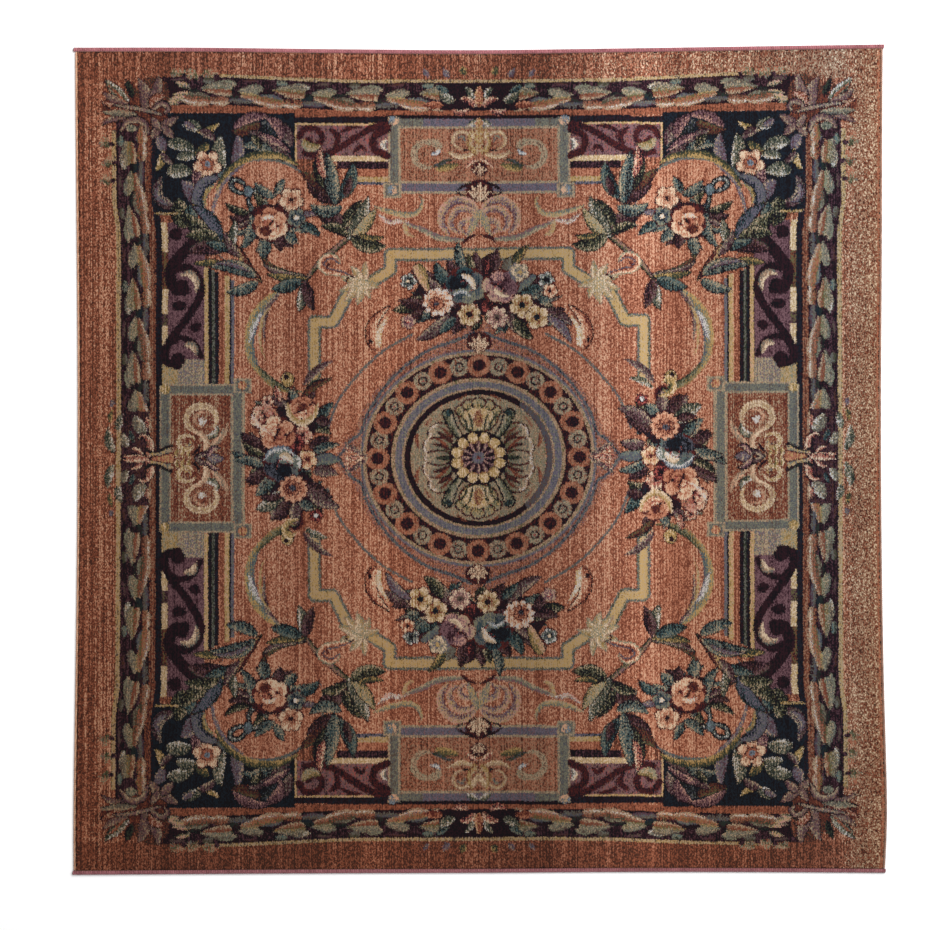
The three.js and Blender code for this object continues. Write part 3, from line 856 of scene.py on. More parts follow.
def drawStrapwork():
    straps = {
        "columns": ("points", "wide"),
        "rows": (
            (((480, 253.5), (390.5, 253.5), (391, 269), (372, 281)), 12),
            (((348, 294), (334, 321.5), (315, 321.5), (315, 376)), 12),
        ),
    }
    for strap in rowsOf(straps):
        chart.ribbon(strap["points"], strap["wide"] + 1.6, "moss stone sage stone slate", "band", "flat",
                     square=True, spread=1.2)
        chart.ribbon(strap["points"], strap["wide"] - 3.6, "goldStrap", "band", "flat", square=True)
    # knots and feathers where the straps meet
    knot = {
        "columns": ("tipX", "tipY", "wide"),
        "rows": (
            (366, 262, 8), (352, 266, 9), (342, 277, 9), (340, 290, 8), (346, 300, 8), (358, 304, 9), (370, 298, 8),
            (380, 287, 8),
        ),
    }
    for feather in rowsOf(knot):
        tipX, tipY = feather["tipX"], feather["tipY"]
        chart.ribbon([(360, 284), ((360 + tipX) / 2 + 2, (284 + tipY) / 2 - 1), (tipX, tipY)], feather["wide"],
                     "ochre gold beige sage beige cream", "flame", "side", edge="sage stone tan")
    chart.disc(360, 285, 8, 8, "gold beige sage cream")
    chart.ribbon(arcLine(351.5, 280, 4.4, 4.6, 150, 330), 2.6, "ink wine oxblood", "leaf", "flat")
    feathers = tableOf("scroll",
        (((278, 292), (266, 303), (255, 318), (250, 340), (254, 362), (268, 380), (290, 391)), 11,
         "slate sea sage ochre gold", "flame", "side"),
        (((280, 293), (270, 304), (265, 320), (265, 346)), 5, "leafMauve", "flame", "side"),
        (((272, 304), (262, 320), (261, 344), (266, 360)), 3, "ochre gold beige", "leaf", "side"),
        (((262, 312), (254, 326), (249, 344)), 6, "lavender white white sage", "leaf", "side"),
        (((256, 364), (270, 381), (290, 391), (304, 392)), 8, "scrollOlive", "leaf", "side"),
        (((376, 350), (372, 334), (376, 320), (390, 306)), 11, "petalPeach", "flame", "side", "ink wine"),
        (((380, 348), (380, 332), (390, 314)), 6, "beige cream white gold", "flame", "side"),
        (((372, 344), (370, 338)), 4, "ink wine", "leaf", "flat"),
    )
    drawScrolls(feathers)
    hooks = tableOf("leaf",
        (304, 386, 335, 361, 8, 0.1, "leafMauve"), (306, 390, 330, 380, 7, 0.1, "leafSage"),
    )
    drawLeaves(hooks)
    chart.disc(288, 380, 6, 7, "petalGold", edge="ink wine")
    chart.disc(287, 377, 2.6, 3.2, "ink wine")
    # vines and shell below the end cartouche
    vines = tableOf("scroll",
        (((374, 205), (388, 210), (406, 214), (418, 211), (423, 200), (419, 194)), 6, "stone sage gold beige",
         "leaf", "side"),
        (((378, 213), (390, 221), (400, 220), (412, 222)), 5, "mauve beige white pink", "leaf", "side"),
        (((404, 219), (408, 232), (416, 236)), 5, "tan gold beige", "leaf", "side"),
        (((405, 222), (424, 229), (442, 237), (470, 239)), 6, "mauve stone sage beige", "reed", "side"),
        (((480, 212), (470, 201), (456, 199), (444, 209), (442, 222), (450, 234)), 9, "shell", "reed", "side",
         None),
        (((480, 218), (472, 209), (460, 208), (452, 216), (452, 226), (460, 232)), 7, "shell", "reed", "side",
         None),
        (((480, 226), (472, 219), (463, 221), (461, 228), (468, 234)), 6, "shell", "reed", "side"),
        (((480, 208), (474, 222), (468, 236)), 8, "stone sage beige gold lavender", "leaf", "ribbed"),
        (((462, 243), (470, 236), (480, 233)), 4, "wine oxblood ink", "leaf", "flat"),
    )
    drawScrolls(vines)


def drawMedallion():
    x, y, k = face["middleX"], face["middleY"], 0.922  # k is how much flatter than wide the rings are
    # ground and lines of the pointed frame round the rings
    chart.ribbon([(343, 460), (352, 446), (366, 436), (376, 414), (398, 384), (428, 358), (462, 338), (480, 330)],
                 15, "medal", "band", "flat")
    chart.ring(x, y, 113, 128, "medal", k, 0.45, 0.5)
    chart.ribbon([(328, 430), (340, 400), (362, 372), (385, 351), (413, 335)], 2.6, "drab stone slate stone",
                 "band", "flat")
    chart.ribbon([(340, 458), (352, 442), (362, 434), (370, 412), (392, 380), (424, 354), (456, 342), (474, 334)],
                 3.2, "navy slate stone slate", "band", "flat")
    chart.ribbon([(362, 450), (366, 430), (378, 406), (398, 382), (428, 362), (462, 350)], 3.4, "pinkMauve",
                 "reed", "flat")
    chart.ring(x, y, 116, 118.5, "ringBlue", k)
    chart.ring(x, y, 112.4, 116, "ringBeige", k)
    chart.ring(x, y, 86.5, 112.6, "ink wine ink wine oxblood", k)
    links = 32  # linked circles, large and small in turn
    for n in range(links):
        a = 2 * math.pi * n / links
        cx, cy = x + 101.2 * math.cos(a), y + 101.2 * k * math.sin(a)
        if n % 2 == 0:
            chart.disc(cx, cy, 11.8, 11.2, "guilloche", base=0.46, hole=0.55, copies=once)
        else:
            chart.disc(cx, cy, 9.2, 9, "brick tan stone beige sage beige", base=0.46, hole=0.52, copies=once)
            chart.disc(cx, cy, 3.0, 3.0, "sage stone beige", base=0.5, copies=once)
            chart.disc(cx, cy, 1.2, 1.2, "rose oxblood", copies=once)
    chart.ring(x, y, 83.4, 87.4, "ringBeige", k)
    chart.ring(x, y, 76.5, 83.6, "ringBlue", k)
    chart.ring(x, y, 73.8, 76.6, "ringBeige", k)
    chart.ring(x, y, 68.2, 74.2, "ink wine ink", k)
    chart.ribbon(arcLine(x, y, 71.5, 71.5 * k, -52, 46), 6, "slate drab slate plum", "band", "flat", copies=once)
    chart.ring(x, y, 0, 68, "disc", k)
    # acanthus round the heart
    for lobeX, lobeY, wide, high in ((442, 435, 11.5, 9), (439, 449, 14, 8.4), (440, 460, 13, 6.5)):
        chart.disc(lobeX, lobeY, wide, high, "olive sage stone tan sage beige", lean=(-0.4, 0),
                   edge="ink oxblood wine", edgeWidth=1.9)
    chart.ribbon([(438, 427), (432, 431), (431.5, 438), (427.5, 444), (426, 450), (427.5, 456), (427, 461)], 2.4,
                 "beige white tan cream", "band", "flat")
    for lobeX, lobeY, size in ((480, 419, 18.5), (463.5, 413, 6), (470.5, 407.5, 6), (480, 405.5, 6)):
        chart.disc(lobeX, lobeY, size, size * 0.8, "moss olive sage gold beige sage", lean=(0, -0.3),
                   edge="ink oxblood wine", edgeWidth=1.8)
    chart.disc(480, 421, 16, 11, "sage gold beige cream gold", lean=(0, -0.2))
    chart.ribbon([(464, 442), (455, 430), (449, 416)], 9, "pine olive sage stone sage beige", "club", "side",
                 edge="ink wine ink", edgeWidth=1.8)
    chart.disc(450, 415, 3.4, 3.4, "ink pine teal")
    strokes = tableOf("scroll",
        (((455, 445), (447, 439), (437, 433)), 4.6, "ink wine umber oxblood", "leaf", "flat"),
        (((453, 440), (447, 433), (439, 428)), 3, "oxblood brick umber", "leaf", "flat"),
        (((453, 453), (444, 448), (433, 446)), 4.2, "ink wine umber oxblood", "leaf", "flat"),
        (((452, 459), (444, 460), (436, 460)), 4.6, "pine moss ink", "leaf", "flat"),
        (((450, 450), (442, 443), (434, 440)), 3, "oxblood rust brick", "leaf", "flat"),
        (((419, 434), (418, 442), (421, 452)), 3.8, "oxblood rust brick tan", "leaf", "flat"),
        (((434, 419), (429, 424), (426, 431)), 3, "rust tan oxblood", "leaf", "flat"),
        (((469, 434), (467, 424), (461, 416)), 2.6, "pine moss ink", "leaf", "flat"),
        (((474, 434), (473, 424), (469, 412)), 2.4, "ink moss pine", "leaf", "flat"),
        (((457, 404), (462, 400), (470, 396)), 2.2, "oxblood rust umber", "leaf", "flat"),
        (((480, 430), (480, 411)), 10, "oxblood gold rust oxblood tan", "leaf", "flat"),
    )
    drawScrolls(strokes)
    # the heart: two rounds of petals
    petals = 12
    chart.ring(x, y, 0, 29.5, "ink wine ink", k)
    for n in range(petals):
        a = 2 * math.pi * (n + 0.5) / petals
        chart.disc(x + 22 * math.cos(a), y + 22 * k * math.sin(a), 5.6, 4.9, "ochre gold gold cream",
                   turn=math.degrees(a), base=0.6, copies=once)
    chart.ring(x, y, 16, 18.5, "ochre rust gold", k)
    chart.ring(x, y, 0, 16.4, "ink wine", k)
    for n in range(petals):
        a = 2 * math.pi * n / petals
        spots = [(x + far * math.cos(a), y + far * k * math.sin(a)) for far in (7, 15.5)]
        chart.ribbon(spots, 4.2, "petalMauve", "club", "round", copies=once)
    chart.disc(x, y, 6.2, 5.8, "slate lavender stone", copies=once)
    chart.disc(x, y, 1.8, 1.8, "oxblood rose", copies=once)
    drawFan(480, 344, 13)
    # clusters where the frame comes to a point at the sides
    clusters = {
        "columns": ("tipY", "wide", "yarns"),
        "rows": ((448, 5, "petalPink"), (453, 5, "petalPeach"), (458, 6, "petalPink"), (443, 5, "leafMauve")),
    }
    for leaf in rowsOf(clusters):
        tipY = leaf["tipY"]
        chart.ribbon([(370, 460), (358, (tipY + 462) / 2), (344, tipY)], leaf["wide"], leaf["yarns"],
                     "leaf", "ribbed", ribs=4)


def drawEndBouquet():
    leaves = tableOf("leaf",
        (446, 292, 415, 268, 13, 0.1, "leafMauve"), (452, 284, 436, 262, 12, 0.1, "leafTeal"),
        (464, 276, 448, 260, 11, 0.1, "leafWine"), (466, 270, 459, 241, 9, 0.1, "leafSea"),
        (480, 276, 476, 250, 10, 0.05, "leafWine"), (474, 272, 468, 254, 7, 0, "leafDark"),
        (494, 276, 498, 249, 10, 0, "leafWine"), (486, 274, 487, 258, 7, 0, "petalWine"),
        (512, 276, 530, 245, 8, 0.1, "leafGold"), (504, 272, 512, 256, 8, 0, "drab stone sage"),
        (424, 296, 394, 310, 12, 0.1, "leafDark"), (428, 302, 400, 300, 10, 0.1, "leafWine"),
        (450, 314, 417, 340, 12, 0.1, "leafMauve"), (436, 312, 420, 318, 9, 0, "leafSea"),
        (424, 310, 404, 326, 10, 0, "leafWine"), (466, 312, 454, 334, 13, 0, "leafWine"),
        (456, 318, 440, 334, 9, 0, "leafTeal"), (480, 314, 474, 332, 11, 0, "leafDark"),
        (500, 314, 506, 334, 12, 0, "leafTeal"), (508, 312, 518, 334, 10, 0, "leafMauve"),
        (524, 296, 552, 296, 13, 0.1, "leafSea"), (516, 292, 538, 276, 12, 0.1, "slate stone sea sage"),
        (520, 298, 546, 284, 11, 0, "leafTeal"), (540, 304, 554, 300, 11, 0.1, "leafSea"),
        (516, 318, 534, 340, 12, -0.1, "leafDark"), (540, 312, 573, 326, 11, 0.1, "leafMauve"),
        (548, 318, 572, 344, 9, 0.1, "lavender"), (552, 314, 566, 310, 6, 0, "leafWine"),
        (484, 302, 496, 310, 16, 0, "petalWine"),
    )
    blooms = tableOf("bloom",
        (409, 281, 8, 5, "petalBlue", "cream", 1.6, 0), (547, 280, 8, 5, "petalBlue", "ink", 2.4, 0),
        (551, 291, 7, 5, "petalPeach", "wine", 2, 10), (409, 322, 7.5, 5, "petalMauve", "cream rose", 2, 0),
        (470, 315, 11.5, 7, "oxblood rust ochre beige gold cream", "wine ink", 3, 30),
        (498, 318, 11, 7, "plum fawn pink mauve cream", "wine drab", 3, 0),
        (523, 306, 12.5, 5, "oxblood rust ochre gold beige cream", "ink navy", 3.2, 15),
        (538, 318, 12, 5, "oxblood rust ochre gold beige cream", "ink navy", 3.2, 40),
        (521, 272, 9, 5, "petalWhite", "gold", 2.2, 20),
    )
    beds = tableOf("bed",
        (512, 302, 58, 36, 14, 10), (446, 298, 54, 38, 13, 30), (480, 284, 46, 34, 9, 200),
    )
    drawBouquet(leaves, blooms, beds)
    chart.rose(466, 286, 20, "petalNavy", 20, copies=halfTurn)
    chart.ribbon([(462, 274), (471, 279), (476, 290)], 6.5, "beige cream white", "leaf", "side", copies=halfTurn)
    chart.ribbon([(452, 296), (462, 290), (472, 296)], 4.5, "sage sky white", "leaf", "side", copies=halfTurn)
    chart.disc(456, 283, 6.5, 7, "ink navy ink", copies=halfTurn)
    chart.rose(501, 287, 17.5, "petalMauve", 130, copies=halfTurn)
    chart.disc(508, 284, 6, 6, "wine plum mauve", lean=(0.3, 0.3), copies=halfTurn)
    chart.ribbon([(495, 288), (502, 295), (511, 297)], 5, "beige cream cream", "leaf", "side", copies=halfTurn)
    chart.ribbon([(416, 263), (423, 277), (431, 295)], 11, "olive ochre gold tan beige peach", "flame", "side",
                 edge="ink wine", copies=halfTurn)
    chart.bloom(439, 302, 15.5, 11, "oxblood brick rust salmon peach cream white", None, 0, 8, 0.95, 0.22, halfTurn)
    chart.bloom(437, 304, 7.5, 7, "ink wine oxblood rust salmon", "ink slate", 2.4, 20, 0.9, copies=halfTurn)
    chart.ribbon([(518, 282), (512, 270), (518, 262)], 6, "petalWhite", "leaf", "side", copies=halfTurn)


# Beds of foliage round dark middles, then single leaves and blooms over them.
def drawBouquet(leaves, blooms, beds):
    kinds = ("leafDark", "leafTeal", "leafWine", "leafMauve", "leafSea")
    for bed in rowsOf(beds):
        x, y, rx, ry = bed["x"], bed["y"], bed["rx"], bed["ry"]
        chart.foliage(x, y, rx, ry, bed["count"], bed["start"], kinds, 13, halfTurn)
        chart.disc(x, y, rx * 0.6, ry * 0.6, "ink wine ink wine navy", copies=halfTurn)
    drawLeaves(leaves, halfTurn, edge="ink wine")
    for flower in rowsOf(blooms):
        chart.bloom(flower["x"], flower["y"], flower["size"], flower["petals"], flower["yarns"], flower["heart"],
                    flower["heartSize"], flower["turn"], copies=halfTurn)


def drawSideBouquet():
    leaves = tableOf("leaf",
        (268, 448, 242, 434, 12, 0.1, "leafWine"), (266, 456, 244, 444, 8, 0.1, "leafDark"),
        (264, 462, 233, 453, 9, 0.1, "leafTeal"), (264, 468, 236, 462, 10, -0.1, "leafSea"),
        (266, 474, 246, 482, 12, 0.1, "leafWine"), (270, 478, 256, 498, 11, 0.1, "leafSea"),
        (276, 480, 262, 496, 9, 0, "leafTeal"), (284, 492, 257, 512, 15, 0.1, "leafSage"),
        (284, 496, 262, 500, 7, 0.1, "leafWine"), (288, 502, 276, 522, 13, 0.1, "leafWine"),
        (296, 506, 298, 528, 12, 0, "leafMauve"), (300, 504, 314, 512, 10, 0, "leafSea"),
        (308, 490, 340, 509, 13, -0.1, "leafMauve"), (308, 486, 326, 492, 8, 0, "leafWine"),
        (310, 448, 330, 438, 10, 0, "leafWine"), (312, 456, 340, 446, 9, 0.1, "leafSea"),
        (312, 466, 342, 462, 12, 0.1, "slate stone sea sage"), (314, 474, 338, 476, 11, 0.1, "leafMauve"),
        (318, 428, 334, 404, 11, 0.1, "leafTeal"), (316, 420, 332, 424, 9, 0, "leafWine"),
        (298, 402, 290, 390, 8, 0, "leafSea"), (286, 406, 270, 396, 9, 0, "leafMauve"),
        (280, 402, 276, 386, 7, 0, "petalPink"), (308, 400, 314, 388, 9, 0, "leafWine"),
        (302, 400, 332, 379, 6, 0.1, "leafBrown"), (270, 412, 256, 402, 8, 0, "leafSage"),
    )
    blooms = tableOf("bloom",
        (303, 436, 10, 5, "petalPink", "wine", 2, 0), (298, 444, 7, 5, "petalWine", "ink", 2, 0),
        (308, 461, 10, 5, "oxblood rust salmon peach gold cream", "oxblood wine", 2.5, 20),
        (317, 518, 6, 5, "petalWine", "white", 2, 0), (268, 402, 6, 5, "petalPink", "wine", 2, 0),
    )
    beds = tableOf("bed",
        (296, 422, 38, 38, 12, 20), (278, 460, 42, 36, 13, 0), (294, 494, 40, 36, 13, 40),
    )
    drawBouquet(leaves, blooms, beds)
    chart.rose(265, 418, 14, "petalPink", 160, copies=halfTurn)
    chart.rose(278, 434, 18, "petalPeach", 200, copies=halfTurn)
    chart.ribbon([(252, 414), (260, 426), (272, 436)], 4, "pink cream white", "leaf", "side", copies=halfTurn)
    chart.rose(283, 466, 19, "petalBlue", 280, copies=halfTurn)
    chart.ribbon([(264, 462), (272, 452), (286, 449), (298, 458)], 5, "slate sky white", "leaf", "side",
                 copies=halfTurn)
    chart.ribbon([(279, 458), (287, 457), (294, 465)], 7, "beige cream white", "leaf", "side", copies=halfTurn)
    chart.disc(285, 473, 8, 5, "ink navy ink", copies=halfTurn)
    chart.rose(303, 410, 14, "petalPeach", 60, copies=halfTurn)
    chart.ribbon([(287, 402), (291, 416), (303, 424), (315, 416), (319, 402)], 6.5, "ochre gold beige cream",
                 "leaf", "side", copies=halfTurn)
    chart.disc(303, 407, 4.4, 4.4, "oxblood wine brick", copies=halfTurn)
    chart.bloom(294, 491, 14.5, 12, "wine oxblood rust salmon salmon peach", None, 0, 0, 0.96, 0.2, halfTurn)
    chart.bloom(293, 490, 8.2, 8, "ink wine oxblood brick salmon", "ink slate", 3, 10, 0.95, copies=halfTurn)
    chart.ribbon([(302, 516), (302, 526), (296, 531), (288, 527)], 5, "oxblood wine ink", "leaf", "side",
                 copies=halfTurn)
    chart.ribbon([(300, 522), (290, 524), (285, 532), (290, 540), (298, 534)], 6, "petalGold", "leaf", "side",
                 copies=halfTurn)


layGrounds()
drawFrames()
drawGarland()
drawPanels()
drawEndCartouche()
drawSideCartouche()
drawCorner()
drawRoundel()
drawStrapwork()
drawBranches()
drawMedallion()
drawEndBouquet()
drawSideBouquet()
print("chart drawn")

# The rug's edge as in the CAD part, in metres.
edges = {
    "sides": {
        "columns": ("y", "left", "right"),
        "rows": (
            (-1.020, -1.003, 0.999), (-0.850, -1.003, 1.0045), (-0.510, -0.998, 0.996), (-0.170, -0.994, 0.991),
            (0.170, -0.993, 0.990), (0.510, -0.995, 0.992), (0.850, -0.998, 0.993), (1.020, -0.999, 0.994),
        ),
    },
    "ends": {
        "columns": ("x", "top", "bottom"),
        "rows": (
            (-1.000, 1.017, -1.025), (-0.700, 1.017, -1.023), (-0.330, 1.013, -1.021), (0.000, 1.011, -1.020),
            (0.330, 1.015, -1.018), (0.660, 1.020, -1.018), (1.000, 1.025, -1.020),
        ),
    },
}
# How the photograph lies over the rug.
photo = {
    "wide": 950, "high": 930,
    "originX": 480.0, "originY": 459.6,  # the pixel over the rug's origin
    "pixel": 0.002466,  # metres to a pixel
}
pixel = photo["pixel"]


# The edge as a function, along the same spline as in the CAD part.
def edgeLine(table, across):
    along = table["columns"][0]
    spots = np.array([(row[along], row[across]) for row in rowsOf(table)])
    ends = np.vstack([spots[:1], spots, spots[-1:]])
    line = []
    steps = 96
    for step in range(steps + 1):
        at = step / steps * (len(spots) - 1)
        k = min(int(at), len(spots) - 2)
        t = at - k
        a, b, c, d = ends[k:k + 4]
        line.append((2 * b - 2 * c + (c - a) / 2 + (d - b) / 2) * t ** 3
                    + (-3 * b + 3 * c - (c - a) - (d - b) / 2) * t ** 2 + (c - a) / 2 * t + b)
    line = np.array(line)
    return lambda value: np.interp(value, line[:, 0], line[:, 1])


sideAt = {side: edgeLine(edges["sides"], side) for side in ("left", "right")}
endAt = {end: edgeLine(edges["ends"], end) for end in ("top", "bottom")}


# Places on the cloth by shares across (u) and along (v), moved in from the sides and ends.
def onCloth(u, v, fromSide, fromEnd):
    x, y = 2.0 * u - 1.0, 2.04 * v - 1.02
    for _ in range(4):
        left, right = sideAt["left"](y) + fromSide, sideAt["right"](y) - fromSide
        bottom, top = endAt["bottom"](x) + fromEnd, endAt["top"](x) - fromEnd
        x, y = left + (right - left) * u, bottom + (top - bottom) * v
    return x, y


def deselectAll():
    if bpy.context.mode != "OBJECT":
        bpy.ops.object.mode_set(mode="OBJECT")
    bpy.ops.object.select_all(action="DESELECT")


# A grid whose border is pulled down ring by ring and closed. Each level gives a ring's place and height.
def clothSlab(name, columns, rows, levels):
    drop = 0.001  # tells the rings apart until they are placed
    deselectAll()
    bpy.ops.mesh.primitive_grid_add(x_subdivisions=columns, y_subdivisions=rows, size=1)
    slab = bpy.context.object
    slab.name = name
    mesh = slab.data
    bpy.ops.object.mode_set(mode="EDIT")
    bpy.ops.mesh.select_all(action="SELECT")
    bpy.ops.mesh.region_to_loop()
    for _ in levels[1:]:
        bpy.ops.mesh.extrude_edges_move(TRANSFORM_OT_translate={"value": (0, 0, -drop)})
    bpy.ops.mesh.edge_face_add()
    bpy.ops.object.mode_set(mode="OBJECT")
    places = np.empty(3 * len(mesh.vertices))
    mesh.vertices.foreach_get("co", places)
    u, v = places[0::3] + 0.5, places[1::3] + 0.5
    level = np.rint(-places[2::3] / drop).astype(int)
    for step, (fromSide, fromEnd, height) in enumerate(levels):
        ring = level == step
        x, y = onCloth(u[ring], v[ring], fromSide, fromEnd)
        if step == 0:
            edgeward = np.minimum(np.minimum(u[ring], 1 - u[ring]), np.minimum(v[ring], 1 - v[ring]))
            inside = np.clip(edgeward / cloth["levelBorder"], 0, 1)
            x = x + inside * cloth["middleShift"][0]
            y = y + inside * cloth["middleShift"][1]
            waves = np.sin(x * 61 + 3 * np.sin(y * 2.3)) + np.sin(x * 23 + y * 9) + 0.6 * np.sin(y * 31 + x * 5)
            height = height + inside * cloth["unevenness"] * waves / 2.6
        places[0::3][ring], places[1::3][ring], places[2::3][ring] = x, y, height
    mesh.vertices.foreach_set("co", places)
    mesh.update()
    return slab


cloth = {
    "faces": (360, 256),  # four knots to a face each way
    "backFaces": (48, 48),
    "fromSide": 0.0063, "fromEnd": 0.0113,  # the pile stops short of the edge yarns
    "height": 0.0080, "backHeight": 0.0053, "marginUnder": 0.0027,
    "margin": 0.0035,  # the thin margin runs out under the edge yarns
    "round": 0.0012, "backRound": 0.0004,
    "underPile": 0.00025,  # the weave's face lies this far inside the pile
    "unevenness": 0.00022,
    "levelBorder": 0.06,  # share of the cloth over which the unevenness grows from the edge
    "middleShift": (-0.0035, 0.0045),  # the layout's middle lies a little off the cloth's
}
side, end, rounded = cloth["fromSide"], cloth["fromEnd"], cloth["round"]
pileLayer = clothSlab("pile_layer", *cloth["faces"], [
    (side + rounded, end + rounded, cloth["height"]),
    (side + rounded / 3, end + rounded / 3, cloth["height"] - rounded / 3), (side, end, cloth["height"] - rounded),
    (side, end, cloth["backHeight"]),
])
margin, rounded = cloth["margin"], cloth["backRound"]
wovenBack = clothSlab("woven_back", *cloth["backFaces"], [
    (margin, margin, cloth["backHeight"] - cloth["underPile"]), (margin, margin, cloth["marginUnder"]),
    (side, end, cloth["marginUnder"]), (side, end, rounded), (side + rounded, end + rounded, 0.0),
])
print("cloth laid,", len(pileLayer.data.polygons), "faces")


# The weave draws the pattern a little off its true mirror: by how much at each y, in pixels.
drift = {
    "places": (124, 300, 480, 660, 836),
    "down": {
        "columns": ("y", "left", "west", "middle", "east", "right"),
        "rows": (
            (98, 0.5, 1.5, 1.3, -0.2, -2.0), (182, 0.1, 0.7, 1.1, -0.6, -2.3), (266, -0.4, 0.8, 0.8, -1.5, -2.5),
            (350, -0.8, 0.4, -1.4, -1.8, -3.0), (434, -0.9, -0.8, -2.2, -3.2, -3.2),
            (518, -3.0, -2.6, -1.8, -4.0, -5.2), (602, -2.5, -3.2, -2.9, -4.0, -5.7),
            (686, -1.2, -2.8, -3.1, -3.2, -4.2), (770, -0.6, -0.9, -2.0, -1.8, -3.0),
            (840, 0.8, -0.4, -1.4, -1.2, -2.0),
        ),
    },
    "across": {
        "columns": ("y", "left", "west", "middle", "east", "right"),
        "rows": (
            (98, -0.6, -1.2, -0.9, -1.4, -2.2), (266, 0.2, -0.5, -0.6, -0.8, -2.2),
            (434, 0.3, -0.8, -1.6, -1.2, -1.3), (602, -0.4, -0.5, -2.1, -1.4, -1.1),
            (770, -1.2, -1.2, -1.0, -0.6, 0.2),
        ),
    },
    "band": 22.0,  # plain ground at the edges, which keeps to the cloth's own edge
}


def driftAt(table, x, y):
    rows = rowsOf(table)
    total = 0.0
    for k, place in enumerate(table["columns"][1:]):
        near = np.interp(x, drift["places"], [float(j == k) for j in range(len(drift["places"]))])
        total = total + near * np.interp(y, [row["y"] for row in rows], [row[place] for row in rows])
    return total


# Where on the chart a knot gets its colour: by its real place, or by its share near the edges.
def chartPlace(real, slide, share, low, high):
    edgeward = np.clip(1 - np.minimum(share - low, high - share) / drift["band"], 0, 1)
    return (real - slide) * (1 - edgeward) + share * edgeward


# The knots' yarn numbers go on the faces: four rows of four knots, a row to an attribute.
def dyeKnots(piece):
    mesh = piece.data
    columns, rows = cloth["faces"]
    count = len(mesh.polygons)
    uvLayer = mesh.uv_layers[0]
    uvLayer.name = "OFBake"
    uv = np.empty(2 * len(mesh.loops))
    uvLayer.data.foreach_get("uv", uv)
    starts = np.empty(count, int)
    totals = np.empty(count, int)
    mesh.polygons.foreach_get("loop_start", starts)
    mesh.polygons.foreach_get("loop_total", totals)
    faceU = np.add.reduceat(uv[0::2], starts) / totals
    faceV = np.add.reduceat(uv[1::2], starts) / totals
    column = np.clip((faceU * columns).astype(int), 0, columns - 1)
    row = np.clip(((1 - faceV) * rows).astype(int), 0, rows - 1)
    middles = np.empty(3 * count)
    mesh.polygons.foreach_get("center", middles)
    knotWide = (face["right"] - face["left"]) / face["columns"]
    knotHigh = (face["bottom"] - face["top"]) / face["rows"]
    for k in range(4):
        values = np.zeros((count, 4), np.float32)
        for channel in range(4):
            realX = photo["originX"] + middles[0::3] / pixel + (channel - 1.5) * knotWide
            realY = photo["originY"] - middles[1::3] / pixel + (k - 1.5) * knotHigh
            x = chartPlace(realX, driftAt(drift["across"], realX, realY),
                           face["left"] + (4 * column + channel + 0.5) * knotWide, face["left"], face["right"])
            y = chartPlace(realY, driftAt(drift["down"], realX, realY),
                           face["top"] + (4 * row + k + 0.5) * knotHigh, face["top"], face["bottom"])
            pickColumn = np.clip((x - face["left"]) / knotWide, 0, face["columns"] - 1).astype(int)
            pickRow = np.clip((y - face["top"]) / knotHigh, 0, face["rows"] - 1).astype(int)
            values[:, channel] = (chart.yarn[pickRow, pickColumn] + 0.5) / len(yarns)
        mesh.attributes.new(f"knots{k}", "FLOAT_COLOR", "FACE").data.foreach_set("color", values.ravel())


dyeKnots(pileLayer)
print("knots dyed")

binding = {
    "wide": 0.0110, "high": 0.0084,
    "pitch": 0.0044, "yarnWide": 0.0056,
    "boxy": 0.35, "lean": 8,  # degrees that the wraps slant
    "overhang": {"top": (0.0041, 0.0031), "bottom": (0.0026, 0.0016)},  # past the left and right corner
    "barIn": (0.0022, 0.0020),  # how much narrower and lower than the wraps the bar inside them is
    "bends": 48,
}
cord = {
    "wide": 0.0060, "high": 0.0074,
    "pitch": 0.0049, "yarnWide": 0.0064,
    "boxy": 0.3, "lean": 18,
    "gap": 0.0003,  # to the binding at each end
    "barIn": (0.0022, 0.0020), "bends": 48,
}


# One wrap of yarn: a ring round the edge, made boxy, sized and leant over.
def yarnWrap(spec):
    deselectAll()
    bpy.ops.mesh.primitive_torus_add(major_segments=12, minor_segments=4, major_radius=1, minor_radius=0.26,
                                     rotation=(0, math.radians(90), 0))
    wrap = bpy.context.object
    bpy.ops.object.transform_apply(location=True, rotation=True, scale=True)
    boxy = wrap.modifiers.new("boxy", "CAST")
    boxy.cast_type, boxy.factor, boxy.use_x = "CUBOID", spec["boxy"], False
    bpy.ops.object.modifier_apply(modifier="boxy")
    deselectAll()
    wrap.select_set(True)
    bpy.ops.object.mode_set(mode="EDIT")
    bpy.ops.mesh.select_all(action="SELECT")
    size = wrap.dimensions
    bpy.ops.transform.resize(value=(spec["yarnWide"] / size.x, spec["wide"] / size.y, spec["high"] / size.z),
                             center_override=(0, 0, 0))
    bpy.ops.transform.rotate(value=math.radians(spec["lean"]), orient_axis="Z", center_override=(0, 0, 0))
    bpy.ops.object.mode_set(mode="OBJECT")
    bpy.ops.object.shade_smooth()
    return wrap


